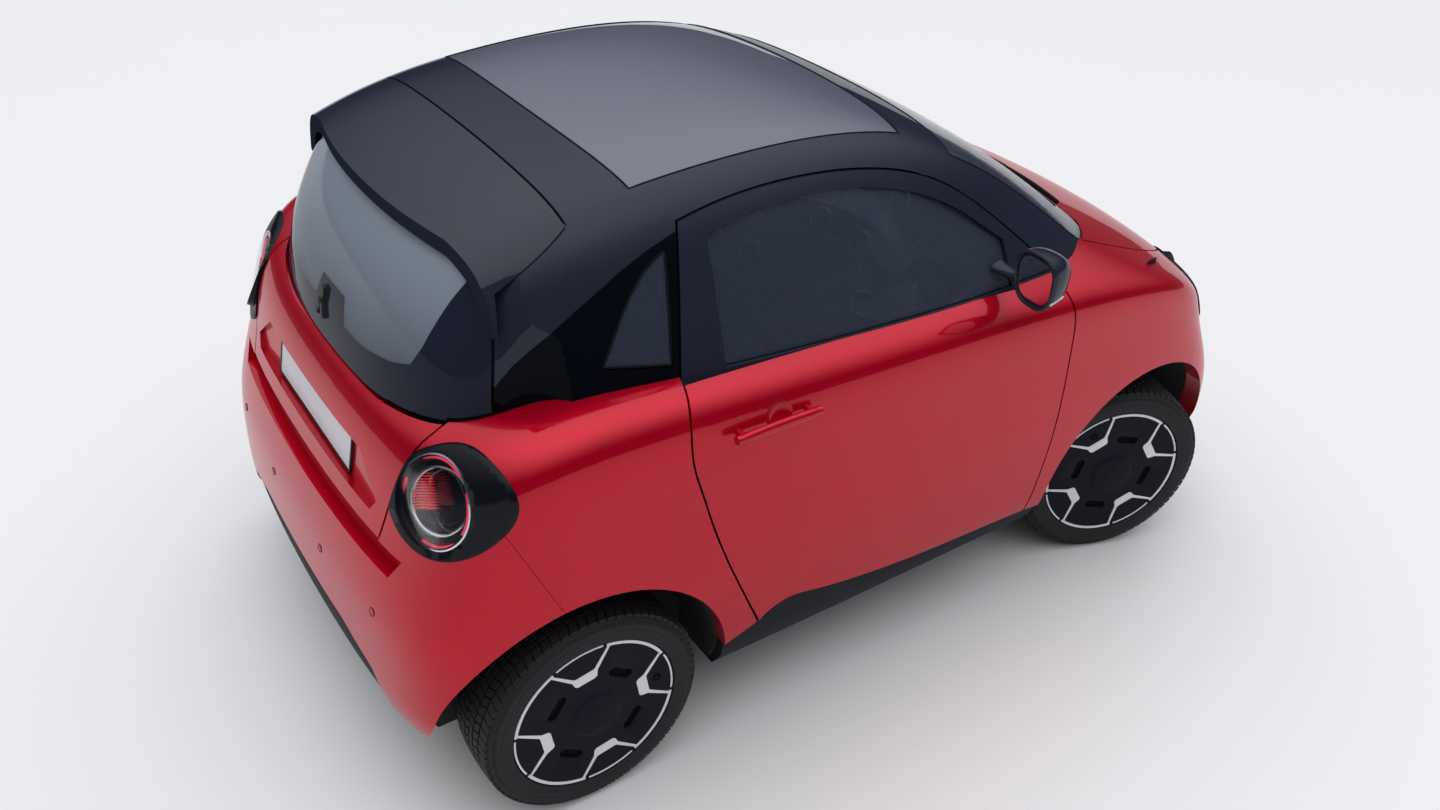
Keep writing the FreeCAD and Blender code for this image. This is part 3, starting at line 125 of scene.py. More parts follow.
def grain_group():
    """Fine and coarse noise over the piece: a height for bumps, a tinted colour and a roughness."""
    group, given, out = effect_group("surface grain",
        {"Colour": (0.5, 0.5, 0.5, 1), "Tint": (0.5, 0.5, 0.5, 1), "Scale": 200.0, "Tint Scale": 6.0,
        "Roughness": 0.5, "Roughness Spread": 0.08},
        {"Colour": "NodeSocketColor", "Roughness": "NodeSocketFloat", "Height": "NodeSocketFloat"})
    place = added(group, "ShaderNodeTexCoord").outputs["Object"]
    fine, wide = [added(group, "ShaderNodeTexNoise",
        {"Vector": place, "Scale": given[scale], "Detail": detail}).outputs["Fac"]
        for scale, detail in (("Scale", 3.0), ("Tint Scale", 2.0))]
    spread = math_node(group, "MULTIPLY", math_node(group, "SUBTRACT", fine, 0.5),
        given["Roughness Spread"])
    group.links.new(mixed(group, wide, given["Colour"], given["Tint"]), out["Colour"])
    group.links.new(math_node(group, "ADD", spread, given["Roughness"], clamp=True), out["Roughness"])
    group.links.new(fine, out["Height"])
    return group


GRAIN = grain_group()


def finish(name, metallic, roughness, colour, **sockets):
    """A Principled material with plain values."""
    material = bpy.data.materials.new(name)
    material.use_nodes = True
    surface = material.node_tree.nodes["Principled BSDF"]
    surface.inputs["Base Color"].default_value = (*colour, 1)
    surface.inputs["Metallic"].default_value = metallic
    surface.inputs["Roughness"].default_value = roughness
    for socket, value in sockets.items():
        surface.inputs[socket.replace("_", " ")].default_value = value
    return material


def feed(material, **sockets):
    """Links these outputs to the inputs of the material's Principled shader."""
    tree = material.node_tree
    for socket, output in sockets.items():
        tree.links.new(output, tree.nodes["Principled BSDF"].inputs[socket.replace("_", " ")])


def grained(name, colour, tint, scale, bump, roughness, spread=0.08, tint_scale=6.0, metallic=0.0,
        **sockets):
    """A material whose colour, roughness and bump come from the grain group."""
    material = finish(name, metallic, roughness, colour, **sockets)
    tree = material.node_tree
    grain = added(tree, "ShaderNodeGroup", {"Colour": (*colour, 1), "Tint": (*tint, 1), "Scale": scale,
        "Tint Scale": tint_scale, "Roughness": roughness, "Roughness Spread": spread},
        node_tree=GRAIN).outputs
    relief = added(tree, "ShaderNodeBump", {"Strength": 1.0, "Distance": bump, "Height": grain["Height"]})
    feed(material, Base_Color=grain["Colour"], Roughness=grain["Roughness"],
        Normal=relief.outputs["Normal"])
    return material


def object_from(name, mesh):
    """A finished mesh becomes an object at the origin."""
    obj = bpy.data.objects.new(name, mesh)
    scene.collection.objects.link(obj)
    return obj


floor_mesh = bpy.data.meshes.new("floor")
corners = [(x * FLOOR_HALF, y * FLOOR_HALF, 0.0) for x, y in ((-1, -1), (1, -1), (1, 1), (-1, 1))]
floor_mesh.from_pydata(corners, [], [(0, 1, 2, 3)])
floor_mesh.materials.append(grained("cove paint", (0.84, 0.83, 0.8), (0.86, 0.85, 0.82), 90.0, 0.0002, 0.55,
    tint_scale=0.3))
object_from("floor", floor_mesh)


# ---- Painted steel and plastic panels ----
# Pressed steel doors and wings and moulded bumpers, sprayed with a red metallic base coat
# under a thick clear lacquer, bolted to the cell.
PANEL_NODES = ["bonnet", "tailgate", "rear_bumper", "front_bumper"] + [piece + "_" + side
    for piece in ("door", "quarter", "fender") for side in SIDES]


def dress(material, *names):
    """Gives these CAD nodes their material."""
    for node in names:
        for place in NODES[node].material_slots:
            place.material = material


red_paint = grained("red metallic lacquer", (0.56, 0.002, 0.02), (0.5, 0.0015, 0.016), 900.0, 0.00002, 0.36,
    spread=0.12, metallic=0.55, Specular_IOR_Level=0.0, Coat_Weight=0.6, Coat_Roughness=0.03)
dress(red_paint, *PANEL_NODES)

# ---- Black upper cell, trims and underside ----
# The pillars, rails and spoiler are steel and plastic in gloss black; the lower trims are
# grained polypropylene, and what lies beneath is wax-coated steel and cast aluminium.
CELL_COAT, SPOILER_COAT = 0.5, 0.6
LIP_UPWARD = 0.62


def cell_finish(name, coat):
    """The cell's slate black lacquer, under a clear coat of this weight."""
    return grained(name, (0.018, 0.021, 0.036), (0.022, 0.025, 0.041), 700.0, 0.00002, 0.2, spread=0.05,
        Specular_IOR_Level=0.0, Coat_Weight=coat, Coat_Roughness=0.03)


def axes(tree, kind="Object"):
    """The shaded spot's X, Y and Z: its place on the object, or its normal."""
    return added(tree, "ShaderNodeSeparateXYZ",
        {0: added(tree, "ShaderNodeTexCoord").outputs[kind]}).outputs


gloss_black = cell_finish("gloss black lacquer", CELL_COAT)
spoiler_black = cell_finish("spoiler black lacquer", SPOILER_COAT)
spoiler_tree = spoiler_black.node_tree
# painted shade: faces that don't look upwards lose their clear coat, so the lip's rear face and underside
# read dark as if in shadow
upward = math_node(spoiler_tree, "GREATER_THAN", axes(spoiler_tree, "Normal")["Z"], LIP_UPWARD)
feed(spoiler_black, Coat_Weight=math_node(spoiler_tree, "MULTIPLY", upward, SPOILER_COAT))
dark_trim = grained("grained polypropylene", (0.01, 0.013, 0.018), (0.014, 0.017, 0.022), 850.0, 0.00025,
    0.62, spread=0.15, Specular_IOR_Level=0.12)
liner_felt = grained("arch liner felt", (0.012, 0.012, 0.013), (0.02, 0.02, 0.021), 500.0, 0.0008, 0.95)
steel = grained("coated steel", (0.05, 0.052, 0.055), (0.09, 0.09, 0.095), 160.0, 0.0003, 0.48,
    metallic=0.85)
cast_alloy = grained("cast aluminium", (0.32, 0.33, 0.34), (0.24, 0.25, 0.26), 220.0, 0.0005, 0.5,
    metallic=0.9)
wax = grained("underbody wax", (0.022, 0.022, 0.024), (0.035, 0.034, 0.034), 120.0, 0.0006, 0.75)
dress(spoiler_black, "spoiler", "tailgate_frame")
dress(gloss_black, "mirror_left", "mirror_right", "door_frame_left", "door_frame_right", "cowl")
dress(dark_trim, "sills", "rear_diffuser", "front_grille")
dress(liner_felt, "wheel_liners")
dress(steel, "front_subframe", "rear_axle", "knuckle_left", "knuckle_right")
dress(cast_alloy, "drive_motor", "battery_pack")
dress(wax, "floor_pan")

# ---- Glass ----
# Bonded tinted safety glass, curved with the cell; roof and hatch are tinted more densely than
# the sides. The hatch pane carries a black fired-on border that hides its glue line.
BORDER_FOOT = [(0.0, 1.175), (0.075, 1.175), (0.1, 1.112), (0.21, 1.112), (0.334, 1.132), (0.404, 1.154),
    (0.425, 1.2), (0.449, 1.31), (0.468, 1.37), (0.52, 1.45)]
BORDER_TOP = 1.4
BORDER_SOFT = 0.003
BORDER_TONE = (0.022, 0.025, 0.045, 1)
CURVE_SPAN = (1.0, 1.5)
# heights over which a painted reflection lightens the hatch glass
HATCH_SHEEN_SPAN = (1.06, 1.36)
HATCH_LOW, HATCH_HIGH = (0.085, 0.105, 0.15, 1), (0.4, 0.46, 0.52, 1)
HATCH_THIN = 0.22


def glass(name, colour, alpha, clear=1.0, index=1.5):
    """Tinted glass: clear is the share of light that it lets through, the rest is its milky tint."""
    return finish(name, 0.0, 0.02, colour, Transmission_Weight=clear, IOR=index, Alpha=alpha)


side_glass = glass("side glass", (0.13, 0.16, 0.23), 0.66, clear=0.68)
roof_tint = glass("roof glass", (0.185, 0.195, 0.245), 0.97, clear=0.3)
rear_tint = glass("hatch glass", (0.22, 0.25, 0.3), 0.9, clear=0.25, index=1.15)
dress(side_glass, "door_glass_left", "door_glass_right", "quarter_glasses", "windscreen")
dress(roof_tint, "roof_glass")
dress(rear_tint, "tailgate_glass")


def curve_height(group, along, spots):
    """The height of a line through these (place, height) spots; the places run from 0 to 1."""
    line = group.nodes.new("ShaderNodeFloatCurve")
    curve = line.mapping.curves[0]
    low, high = CURVE_SPAN
    for _ in range(len(spots) - 2):
        curve.points.new(0.5, 0.5)
    for point, (place, height) in zip(curve.points, spots):
        point.location = (place, (height - low) / (high - low))
        point.handle_type = "VECTOR"
    line.mapping.update()
    group.links.new(along, line.inputs["Value"])
    return math_node(group, "MULTIPLY_ADD", line.outputs[0], high - low, low)


def border_group():
    """Where the hatch glass is clear: above the border's foot line, which rises to the sides."""
    group, given, out = effect_group("fired-on border", {"Top": BORDER_TOP, "Softness": BORDER_SOFT},
        {"Clear": "NodeSocketFloat"})
    place = axes(group)
    foot = curve_height(group, math_node(group, "ABSOLUTE", place["Y"]), BORDER_FOOT)
    over, under = [math_node(group, "DIVIDE", math_node(group, "SUBTRACT", *pair), given["Softness"],
        clamp=True) for pair in ((place["Z"], foot), (given["Top"], place["Z"]))]
    group.links.new(math_node(group, "MULTIPLY", over, under), out["Clear"])
    return group


rear_tree = rear_tint.node_tree
unprinted = added(rear_tree, "ShaderNodeGroup", node_tree=border_group()).outputs["Clear"]
# painted reflection: the clear part of the hatch glass grows lighter upwards, standing for the bright
# ceiling mirrored in the upper pane
sheened_clear_tone = mixed(rear_tree, faded(rear_tree, axes(rear_tree)["Z"], HATCH_SHEEN_SPAN), HATCH_LOW, HATCH_HIGH)
feed(rear_tint, Base_Color=mixed(rear_tree, unprinted, BORDER_TONE, sheened_clear_tone),
    Alpha=math_node(rear_tree, "MULTIPLY_ADD", unprinted, -HATCH_THIN, 1.0))

# ---- Side window band ----
# Behind the doors the side windows and the pillar's foot are one near-black glossy field under a
# rising line, where the cell's skin above it stays slate black.
BAND_LINE = [(0.0, 1.09), (0.027, 1.145), (0.0533, 1.1786), (0.0804, 1.2087), (0.1202, 1.2407),
    (0.1695, 1.2745), (0.2272, 1.3072), (0.2858, 1.3371), (0.344, 1.3665), (0.4106, 1.3937),
    (0.5019, 1.4222), (0.613, 1.4429), (0.7211, 1.4489), (0.8, 1.449), (0.81, 1.0), (1.0, 1.0)]
BAND_START = -1.1
BAND_INNER_Y = 0.45
BAND_TONE = (0.003, 0.004, 0.007, 1)
BAND_COAT_LOSS = 0.42


def band_group():
    """Whether a spot lies in the dark field of the side windows."""
    group, given, out = effect_group("window band", {"Softness": 0.0015}, {"Band": "NodeSocketFloat"})
    place = axes(group)
    along = math_node(group, "SUBTRACT", place["X"], BAND_START, clamp=True)
    under = math_node(group, "SUBTRACT", curve_height(group, along, BAND_LINE), place["Z"])
    under = math_node(group, "DIVIDE", under, given["Softness"], clamp=True)
    side = math_node(group, "GREATER_THAN", math_node(group, "ABSOLUTE", place["Y"]), BAND_INNER_Y)
    group.links.new(math_node(group, "MULTIPLY", under, side), out["Band"])
    return group


cell_black = cell_finish("cell black lacquer", CELL_COAT)
cell_tree = cell_black.node_tree
band = added(cell_tree, "ShaderNodeGroup", node_tree=band_group()).outputs["Band"]
slate = cell_tree.nodes["Principled BSDF"].inputs["Base Color"].links[0].from_socket
feed(cell_black, Base_Color=mixed(cell_tree, band, slate, BAND_TONE),
    Coat_Weight=math_node(cell_tree, "MULTIPLY_ADD", band, -BAND_COAT_LOSS, CELL_COAT))
dress(cell_black, "roof_frame")


# ---- Lamps ----
# Four round lamps in black plastic housings under clear covers: the rear ones have broken red
# light rings and a red louvre, the front ones a white ring and a projector lens.
LAMP_BORE = 0.1085
LAMP_DEPTH = 0.052
COVER_THICK, COVER_GAP = 0.0025, 0.0008
COVER_RINGS, COVER_SPOKES = 10, 64
TRIM_RING = (0.0045, 0.0005)
REAR_SPOT = (-1.2487, -0.6237, 0.9285)
REAR_OUT, REAR_ACROSS = (-0.783, -0.426, 0.453), (0.565, -0.792, 0.232)
REAR_CENTRE = (0.014, 0.016)
FRONT_SPOT = (1.188, -0.61, 0.798)
FRONT_TURN, FRONT_ROLL = radians(36.0), radians(12.0)
FRONT_BORE = 0.088
CAST_FROM = 0.25
SLATS = 15
SLAT_PITCH, SLAT_HALF = 0.0064, 0.0011
SLAT_INNER, SLAT_FOOT = -0.018, -0.018
SLAT_REACH, SLAT_SHORTEST = 0.0715, 0.006
ARC_INSET = 0.0105
ARC_HALF = (0.0012, 0.0026)
ARC_DROP, ARC_DEEP = 0.0065, 0.006
ARC_STEPS = 24
WHITE_ARCS = [(176.0, 4.0), (-4.0, -176.0)]
RED_ARCS = [(108.0, 38.0), (15.5, -42.0), (-65.0, -118.0), (175.0, 150.0)]
STILL, MIRROR = Matrix.Identity(4), Matrix.Diagonal((1, -1, 1, 1))

lamp_black = grained("lamp housing", (0.005, 0.006, 0.009), (0.008, 0.009, 0.013), 500.0, 0.00003, 0.22,
    Specular_IOR_Level=0.0, Coat_Weight=0.3, Coat_Roughness=0.12)
lamp_chrome = grained("lamp chrome", (0.72, 0.73, 0.75), (0.62, 0.63, 0.66), 300.0, 0.00002, 0.12,
    metallic=1.0)
guide_red = grained("red light guide", (0.5, 0.012, 0.05), (0.6, 0.02, 0.07), 240.0, 0.00003, 0.25,
    Emission_Color=(1.0, 0.04, 0.12, 1.0), Emission_Strength=0.35, Coat_Weight=0.3)
louvre_red = grained("red louvre", (0.34, 0.008, 0.03), (0.44, 0.012, 0.04), 240.0, 0.00003, 0.3,
    Emission_Color=(1.0, 0.03, 0.06, 1.0), Emission_Strength=0.3)
guide_white = grained("white light guide", (0.82, 0.84, 0.88), (0.76, 0.78, 0.82), 240.0, 0.00003, 0.25,
    Coat_Weight=0.5)
clear_cover = glass("lamp cover", (0.92, 0.93, 0.95), 0.14, index=1.3)
projector = glass("projector lens", (0.75, 0.8, 0.88), 0.75)


def shape_of(mesh, merged=False):
    """The mesh for editing; a merged one has no doubled points and its faces look outwards."""
    shape = bmesh.new()
    shape.from_mesh(mesh)
    if merged:
        bmesh.ops.remove_doubles(shape, verts=shape.verts, dist=1e-6)
        bmesh.ops.recalc_face_normals(shape, faces=shape.faces)
    return shape


def stored(shape, mesh, material=None):
    """Puts the edited shape in the mesh, with its material."""
    shape.to_mesh(mesh)
    shape.free()
    if material:
        mesh.materials.append(material)
    return mesh


def smoothed(mesh, degrees):
    """Smooth shading but for the edges sharper than this."""
    mesh.shade_smooth()
    mesh.set_sharp_from_angle(angle=radians(degrees))
    return mesh


def mesh_from(name, points, faces, material, smooth_deg=35.0):
    """A merged mesh with its faces turned outwards, smooth but for its sharp edges."""
    mesh = bpy.data.meshes.new(name)
    mesh.from_pydata(points, [], faces)
    return smoothed(stored(shape_of(mesh, merged=True), mesh, material), smooth_deg)


def joined(name, *meshes):
    """One mesh from several, keeping each one's material."""
    shape = bmesh.new()
    finishes = []
    for mesh in meshes:
        first = len(shape.faces)
        shape.from_mesh(mesh)
        finishes += [material for material in mesh.materials if material not in finishes]
        slots = [finishes.index(material) for material in mesh.materials]
        shape.faces.ensure_lookup_table()
        for face in shape.faces[first:]:
            face.material_index = slots[min(face.material_index, len(slots) - 1)]
    result = stored(shape, bpy.data.meshes.new(name))
    for material in finishes:
        result.materials.append(material)
    return result


def moved(mesh, matrix):
    """A copy of the mesh set in this place; a mirrored one has its faces turned outwards again."""
    mesh = mesh.copy()
    mesh.transform(matrix)
    if matrix.determinant() < 0:
        mesh.flip_normals()
    return mesh


def placed(name, mesh, matrix, body, replaced=()):
    """A copy of the mesh set in its place, riding on its body."""
    obj = object_from(name, moved(mesh, matrix))
    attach(obj, body)
    if replaced:
        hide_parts(*replaced)
    return obj


def evaluated(obj, *tools):
    """The object's mesh after its modifiers; the object and its tools are gone."""
    mesh = bpy.data.meshes.new_from_object(obj.evaluated_get(bpy.context.evaluated_depsgraph_get()))
    for spent in (obj, *tools):
        bpy.data.objects.remove(spent)
    return mesh


def shift(x, y, z=0.0):
    """A move by this much."""
    return Matrix.Translation((x, y, z))


def polar(radius, angle):
    """The X and Y of a spot on a circle."""
    return radius * cos(angle), radius * sin(angle)


def circle(radius, count):
    """This many spots round a circle."""
    return [polar(radius, 2 * pi * k / count) for k in range(count)]


def turned(name, profile, material, steps=128, closed=False, smooth_deg=35.0):
    """A profile of (radius, height) points turned about the Z axis; a closed one makes a ring."""
    count = len(profile)
    points, faces = [], []
    for k in range(steps):
        points += [(*polar(r, 2 * pi * k / steps), z) for r, z in profile]
        here, there = k * count, (k + 1) % steps * count
        faces += [(here + i, there + i, there + (i + 1) % count, here + (i + 1) % count)
            for i in range(count if closed else count - 1)]
    return mesh_from(name, points, faces, material, smooth_deg)


def tube_of(rings, material, smooth_deg=40.0):
    """A closed skin through rings of points, each end closed by a face."""
    count = len(rings[0])
    faces = [tuple(range(count)), tuple((len(rings) - 1) * count + j for j in range(count))]
    for k in range(len(rings) - 1):
        low, high = k * count, (k + 1) * count
        faces += [(low + j, low + (j + 1) % count, high + (j + 1) % count, high + j) for j in range(count)]
    return mesh_from("tube", [point for ring in rings for point in ring], faces, material, smooth_deg)


def rim_of(rings, material, smooth_deg):
    """A closed rim through four rings of points: the outer two, then the inner two."""
    count = len(rings[0])
    order = (0, 1, 3, 2)
    faces = [(one * count + k, one * count + (k + 1) % count, two * count + (k + 1) % count,
        two * count + k) for k in range(count) for one, two in zip(order, order[1:] + order[:1])]
    return mesh_from("rim", [point for ring in rings for point in ring], faces, material, smooth_deg)


def plate_piece(name, outline, low, high, material, bevel=0.0005):
    """A flat plate with this outline, its upper edge broken by a small bevel."""
    shape = bmesh.new()
    face = shape.faces.new([shape.verts.new((x, y, low)) for x, y in outline])
    made = bmesh.ops.extrude_face_region(shape, geom=[face])
    top = [v for v in made["geom"] if isinstance(v, bmesh.types.BMVert)]
    bmesh.ops.translate(shape, verts=top, vec=(0, 0, high - low))
    bmesh.ops.recalc_face_normals(shape, faces=shape.faces)
    rim = [e for e in shape.edges if all(v in top for v in e.verts) and e.calc_face_angle(0) > 0.5]
    if bevel:
        bmesh.ops.bevel(shape, geom=rim, offset=bevel, segments=2, affect="EDGES")
    return smoothed(stored(shape, bpy.data.meshes.new(name), material), 35.0)


def slat(left, right, y, half, low, high, material):
    """A thin flat bar along X."""
    outline = [(left, y - half), (right, y - half), (right, y + half), (left, y + half)]
    return plate_piece("slat", outline, low, high, material, 0.0003)


def frame_of(spot, out, across):
    """A frame with its Z axis out of the skin and its X axis across the piece."""
    out, across = Vector(out).normalized(), Vector(across)
    across = (across - across.dot(out) * out).normalized()
    turn = Matrix((across, out.cross(across), out)).transposed().to_4x4()
    return Matrix.Translation(Vector(spot)) @ turn


def plain_copy(node):
    """A merged copy of a CAD node's mesh, in the car's frame."""
    mesh = NODES[node].data.copy()
    mesh.transform(NODES[node].matrix_world)
    return stored(shape_of(mesh, merged=True), mesh)


def skin_tree(mesh):
    """The mesh's faces, ready for rays to meet."""
    shape = shape_of(mesh)
    tree = BVHTree.FromBMesh(shape)
    shape.free()
    return tree


def bored(mesh, tool_mesh, edge=0.0):
    """The mesh less the tool's mesh, its sharp edges broken by this width."""
    body, tool = object_from("body", mesh), object_from("tool", tool_mesh)
    cut = body.modifiers.new("cut", "BOOLEAN")
    cut.operation = "DIFFERENCE"
    cut.object = tool
    cut.solver = "EXACT"
    if edge:
        bevel = body.modifiers.new("edge", "BEVEL")
        bevel.width = edge
        bevel.segments = 2
        bevel.limit_method = "ANGLE"
        bevel.angle_limit = radians(50)
    return evaluated(body, tool)


def skin_points(tree, place, spots, centre, drops):
    """For each drop, the flat spots about the centre, set that far below the skin over them."""
    back = place.inverted()
    heights = []
    for x, y in spots:
        start = place @ Vector((centre[0] + x, centre[1] + y, CAST_FROM))
        hit = tree.ray_cast(start, -place.col[2].xyz)[0]
        heights.append((back @ hit).z if hit else None)
    lowest = min([h for h in heights if h is not None] or [0.0])
    heights = [lowest if h is None else h for h in heights]
    return [[(centre[0] + x, centre[1] + y, h - drop) for (x, y), h in zip(spots, heights)]
        for drop in drops]


def cover_sheet(tree, place, centre, radius):
    """The lamp's clear cover: a thin cap that follows the skin over the bore."""
    rings, spokes = COVER_RINGS, COVER_SPOKES
    spots = [(0.0, 0.0)] + [spot for ring in range(1, rings + 1) for spot in circle(radius * ring / rings,
        spokes)]
    sheets = skin_points(tree, place, spots, centre, (0.0, COVER_THICK))
    faces = []
    total = len(spots)
    for layer in (0, total):
        faces += [(layer, layer + 1 + k, layer + 1 + (k + 1) % spokes) for k in range(spokes)]
        for ring in range(rings - 1):
            low, high = layer + 1 + ring * spokes, layer + 1 + (ring + 1) * spokes
            faces += [(low + k, high + k, high + (k + 1) % spokes, low + (k + 1) % spokes)
                for k in range(spokes)]
    edge = 1 + (rings - 1) * spokes
    faces += [(edge + k, edge + (k + 1) % spokes, total + edge + (k + 1) % spokes, total + edge + k)
        for k in range(spokes)]
    return mesh_from("cover", sheets[0] + sheets[1], faces, clear_cover, 50.0)


def skin_ring(tree, place, centre, inner, outer, drop, deep, material):
    """A trim ring that follows the skin a little below it."""
    rings = [ring for radius in (outer, inner) for ring in skin_points(tree, place, circle(radius, 96),
        centre, (drop, drop + deep))]
    return rim_of(rings, material, 40.0)


def lamp_bowl(centre, share):
    """The black stepped reflector bowl at the bore's floor, and its silver ring."""
    floor = [(0.0, -0.0475), (0.052, -0.047), (0.056, -0.044), (0.064, -0.044), (0.068, -0.039),
        (0.071, -0.03), (0.082, -0.029), (0.09, -0.031), (0.094, -0.028), (0.096, -0.0215), (0.105, -0.018),
        (0.1085, -0.006), (0.1085, -0.05), (0.0, -0.05)]
    ring = [(0.0725, -0.029), (0.0725, -0.023), (0.0745, -0.0212), (0.0775, -0.0218), (0.0788, -0.025),
        (0.0788, -0.029)]
    return [moved(turned("bowl", [(r * share, z) for r, z in profile], material, 96, closed),
        shift(*centre)) for profile, material, closed in ((floor, lamp_black, False),
        (ring, lamp_chrome, True))]


def ring_arcs(tree, place, centre, radius, arcs, material):
    """Light guides that follow the skin beside the bore, thin where they start."""
    meshes = []
    for start, end in arcs:
        rings = []
        for k in range(ARC_STEPS + 1):
            angle = radians(start + (end - start) * k / ARC_STEPS)
            wide = ARC_HALF[0] + (ARC_HALF[1] - ARC_HALF[0]) * min(1.0, 2.4 * k / ARC_STEPS)
            top, foot = skin_points(tree, place, [polar(radius + wide, angle), polar(radius - wide, angle)],
                centre, (ARC_DROP, ARC_DROP + ARC_DEEP))
            rings.append([top[0], foot[0], foot[1], top[1]])
        meshes.append(tube_of(rings, material, 30.0))
    return meshes


def louvre(centre):
    """Thin red slats over the bowl's inner half, their outer ends cut to the ring."""
    meshes = []
    for k in range(SLATS):
        y = SLAT_FOOT + k * SLAT_PITCH
        left, inner = -sqrt(max(0.0, SLAT_REACH ** 2 - y * y)), SLAT_INNER - 0.2 * (y - SLAT_FOOT)
        if inner - left >= SLAT_SHORTEST:
            meshes.append(slat(left, inner, y, SLAT_HALF, -0.044, -0.027, louvre_red))
    return moved(joined("louvre", *meshes), shift(*centre))


def lamp_pair(node, label, place, centre, bore, parts, arcs, guide):
    """Both lamps of a node: bored housing, bowl, trims and cover; the left is the mirror image."""
    skin = plain_copy(node)
    tree = skin_tree(skin)
    profile = [(0.0, 0.12), (bore, 0.12), (bore, -LAMP_DEPTH), (0.0, -LAMP_DEPTH)]
    tool = moved(turned("bore", profile, lamp_black, 96), shift(*centre))
    housing = bored(skin, joined("bores", moved(tool, place), moved(tool, MIRROR @ place)))
    housing.materials.clear()
    housing.materials.append(lamp_black)
    placed(label + "_housings", smoothed(housing, 30.0), STILL, "car_body", [node])
    parts = parts + ring_arcs(tree, place, centre, bore - ARC_INSET, arcs, guide)
    trim = skin_ring(tree, place, centre, bore - TRIM_RING[0], bore - TRIM_RING[1], 0.0015, 0.006,
        lamp_chrome)
    inner = joined(label, *parts, trim)
    cover = cover_sheet(tree, place, centre, bore - COVER_GAP)
    for side, turn in (("right", STILL), ("left", MIRROR)):
        placed(label + "_inner_" + side, inner, turn @ place, "car_body")
        placed(label + "_cover_" + side, cover, turn @ place, "car_body")


rear_place = frame_of(REAR_SPOT, REAR_OUT, REAR_ACROSS)
lamp_pair("rear_lamps", "rear_lamp", rear_place, REAR_CENTRE, LAMP_BORE,
    lamp_bowl(REAR_CENTRE, 1.0) + [louvre(REAR_CENTRE)], RED_ARCS, guide_red)
front_place = frame_of(FRONT_SPOT, (cos(FRONT_TURN), -sin(FRONT_TURN), 0.0),
    (-sin(FRONT_TURN) * cos(FRONT_ROLL), -cos(FRONT_TURN) * cos(FRONT_ROLL), sin(FRONT_ROLL)))
lens_bead = turned("projector", [(0.0, -0.012), (0.014, -0.0135), (0.025, -0.019), (0.031, -0.027),
    (0.031, -0.036), (0.0, -0.036)], projector, 64)
bezel = turned("bezel", [(0.032, -0.046), (0.032, -0.026), (0.0345, -0.024), (0.04, -0.03),
    (0.046, -0.046)], lamp_chrome, 64, True)
lamp_pair("headlamps", "headlamp", front_place, (0.0, 0.0), FRONT_BORE,
    lamp_bowl((0.0, 0.0), FRONT_BORE / LAMP_BORE) + [lens_bead, bezel], WHITE_ARCS, guide_white)


# ---- Number plate and parking sensors ----
# A bare stamped aluminium plate in a black plastic tray sits in the tailgate's recess, and four
# round sensors are pushed into the bumper.
PLATE_X, PLATE_Z = -1.306, 0.815
PLATE_LEAN = radians(12.0)
PLATE_HALF = (0.26, 0.055)
PLATE_UP = 0.064
PLATE_EDGE, TRAY_EDGE = 0.004, 0.005
SENSORS = [(-0.498, 0.593), (-0.187, 0.571), (0.187, 0.571), (0.498, 0.593)]

plate_white = grained("plate sheet", (0.74, 0.75, 0.76), (0.7, 0.71, 0.73), 260.0, 0.00005, 0.38)
tray_black = grained("tray plastic", (0.01, 0.011, 0.012), (0.016, 0.017, 0.018), 600.0, 0.0001, 0.55)


def round_box(half_x, half_y, radius, steps=6):
    """A rounded rectangle's outline about the origin."""
    outline = []
    for quarter, (sx, sy) in enumerate(((1, 1), (-1, 1), (-1, -1), (1, -1))):
        for k in range(steps + 1):
            x, y = polar(radius, radians(90 * (quarter + k / steps)))
            outline.append((sx * (half_x - radius) + x, sy * (half_y - radius) + y))
    return outline


def slab(name, half_x, half_y, radius, low, high, material, bevel, steps=6):
    """A flat plate with rounded corners."""
    return plate_piece(name, round_box(half_x, half_y, radius, steps), low, high, material, bevel)


def frame_ring(half_x, half_y, radius, edge, low, high, material):
    """A rounded rectangular rim, as a closed band around the opening."""
    outlines = round_box(half_x, half_y, radius), round_box(half_x - edge, half_y - edge, radius - edge / 2)
    rings = [[(x, y, z) for x, y in outline] for outline in outlines for z in (low, high)]
    return rim_of(rings, material, 30.0)


def ray_on(mesh, start, along):
    """Where a line from start meets a mesh, with the outward normal there."""
    return skin_tree(mesh).ray_cast(Vector(start), Vector(along))[:2]


def frame_on(mesh, start, along, across):
    """A frame on the skin where a line from start meets it, with its X axis across the piece."""
    return frame_of(*ray_on(mesh, start, along), across)


plate_place = frame_of((PLATE_X, 0.0, PLATE_Z), (-cos(PLATE_LEAN), 0.0, sin(PLATE_LEAN)), (0.0, -1.0, 0.0))
plate_rim = [half - PLATE_EDGE for half in PLATE_HALF]
tray_half = [half + TRAY_EDGE for half in PLATE_HALF]
plate_mesh = joined("plate", slab("sheet", *PLATE_HALF, 0.008, 0.0035, 0.0048, plate_white, 0.0004),
    frame_ring(*plate_rim, 0.006, 0.0022, 0.0046, 0.0056, plate_white),
    slab("tray", *tray_half, 0.01, 0.0006, 0.0035, tray_black, 0.0006),
    frame_ring(*tray_half, 0.01, 0.0045, 0.003, 0.0068, tray_black))
placed("number_plate", plate_mesh, plate_place @ shift(0.0, PLATE_UP), "tailgate")

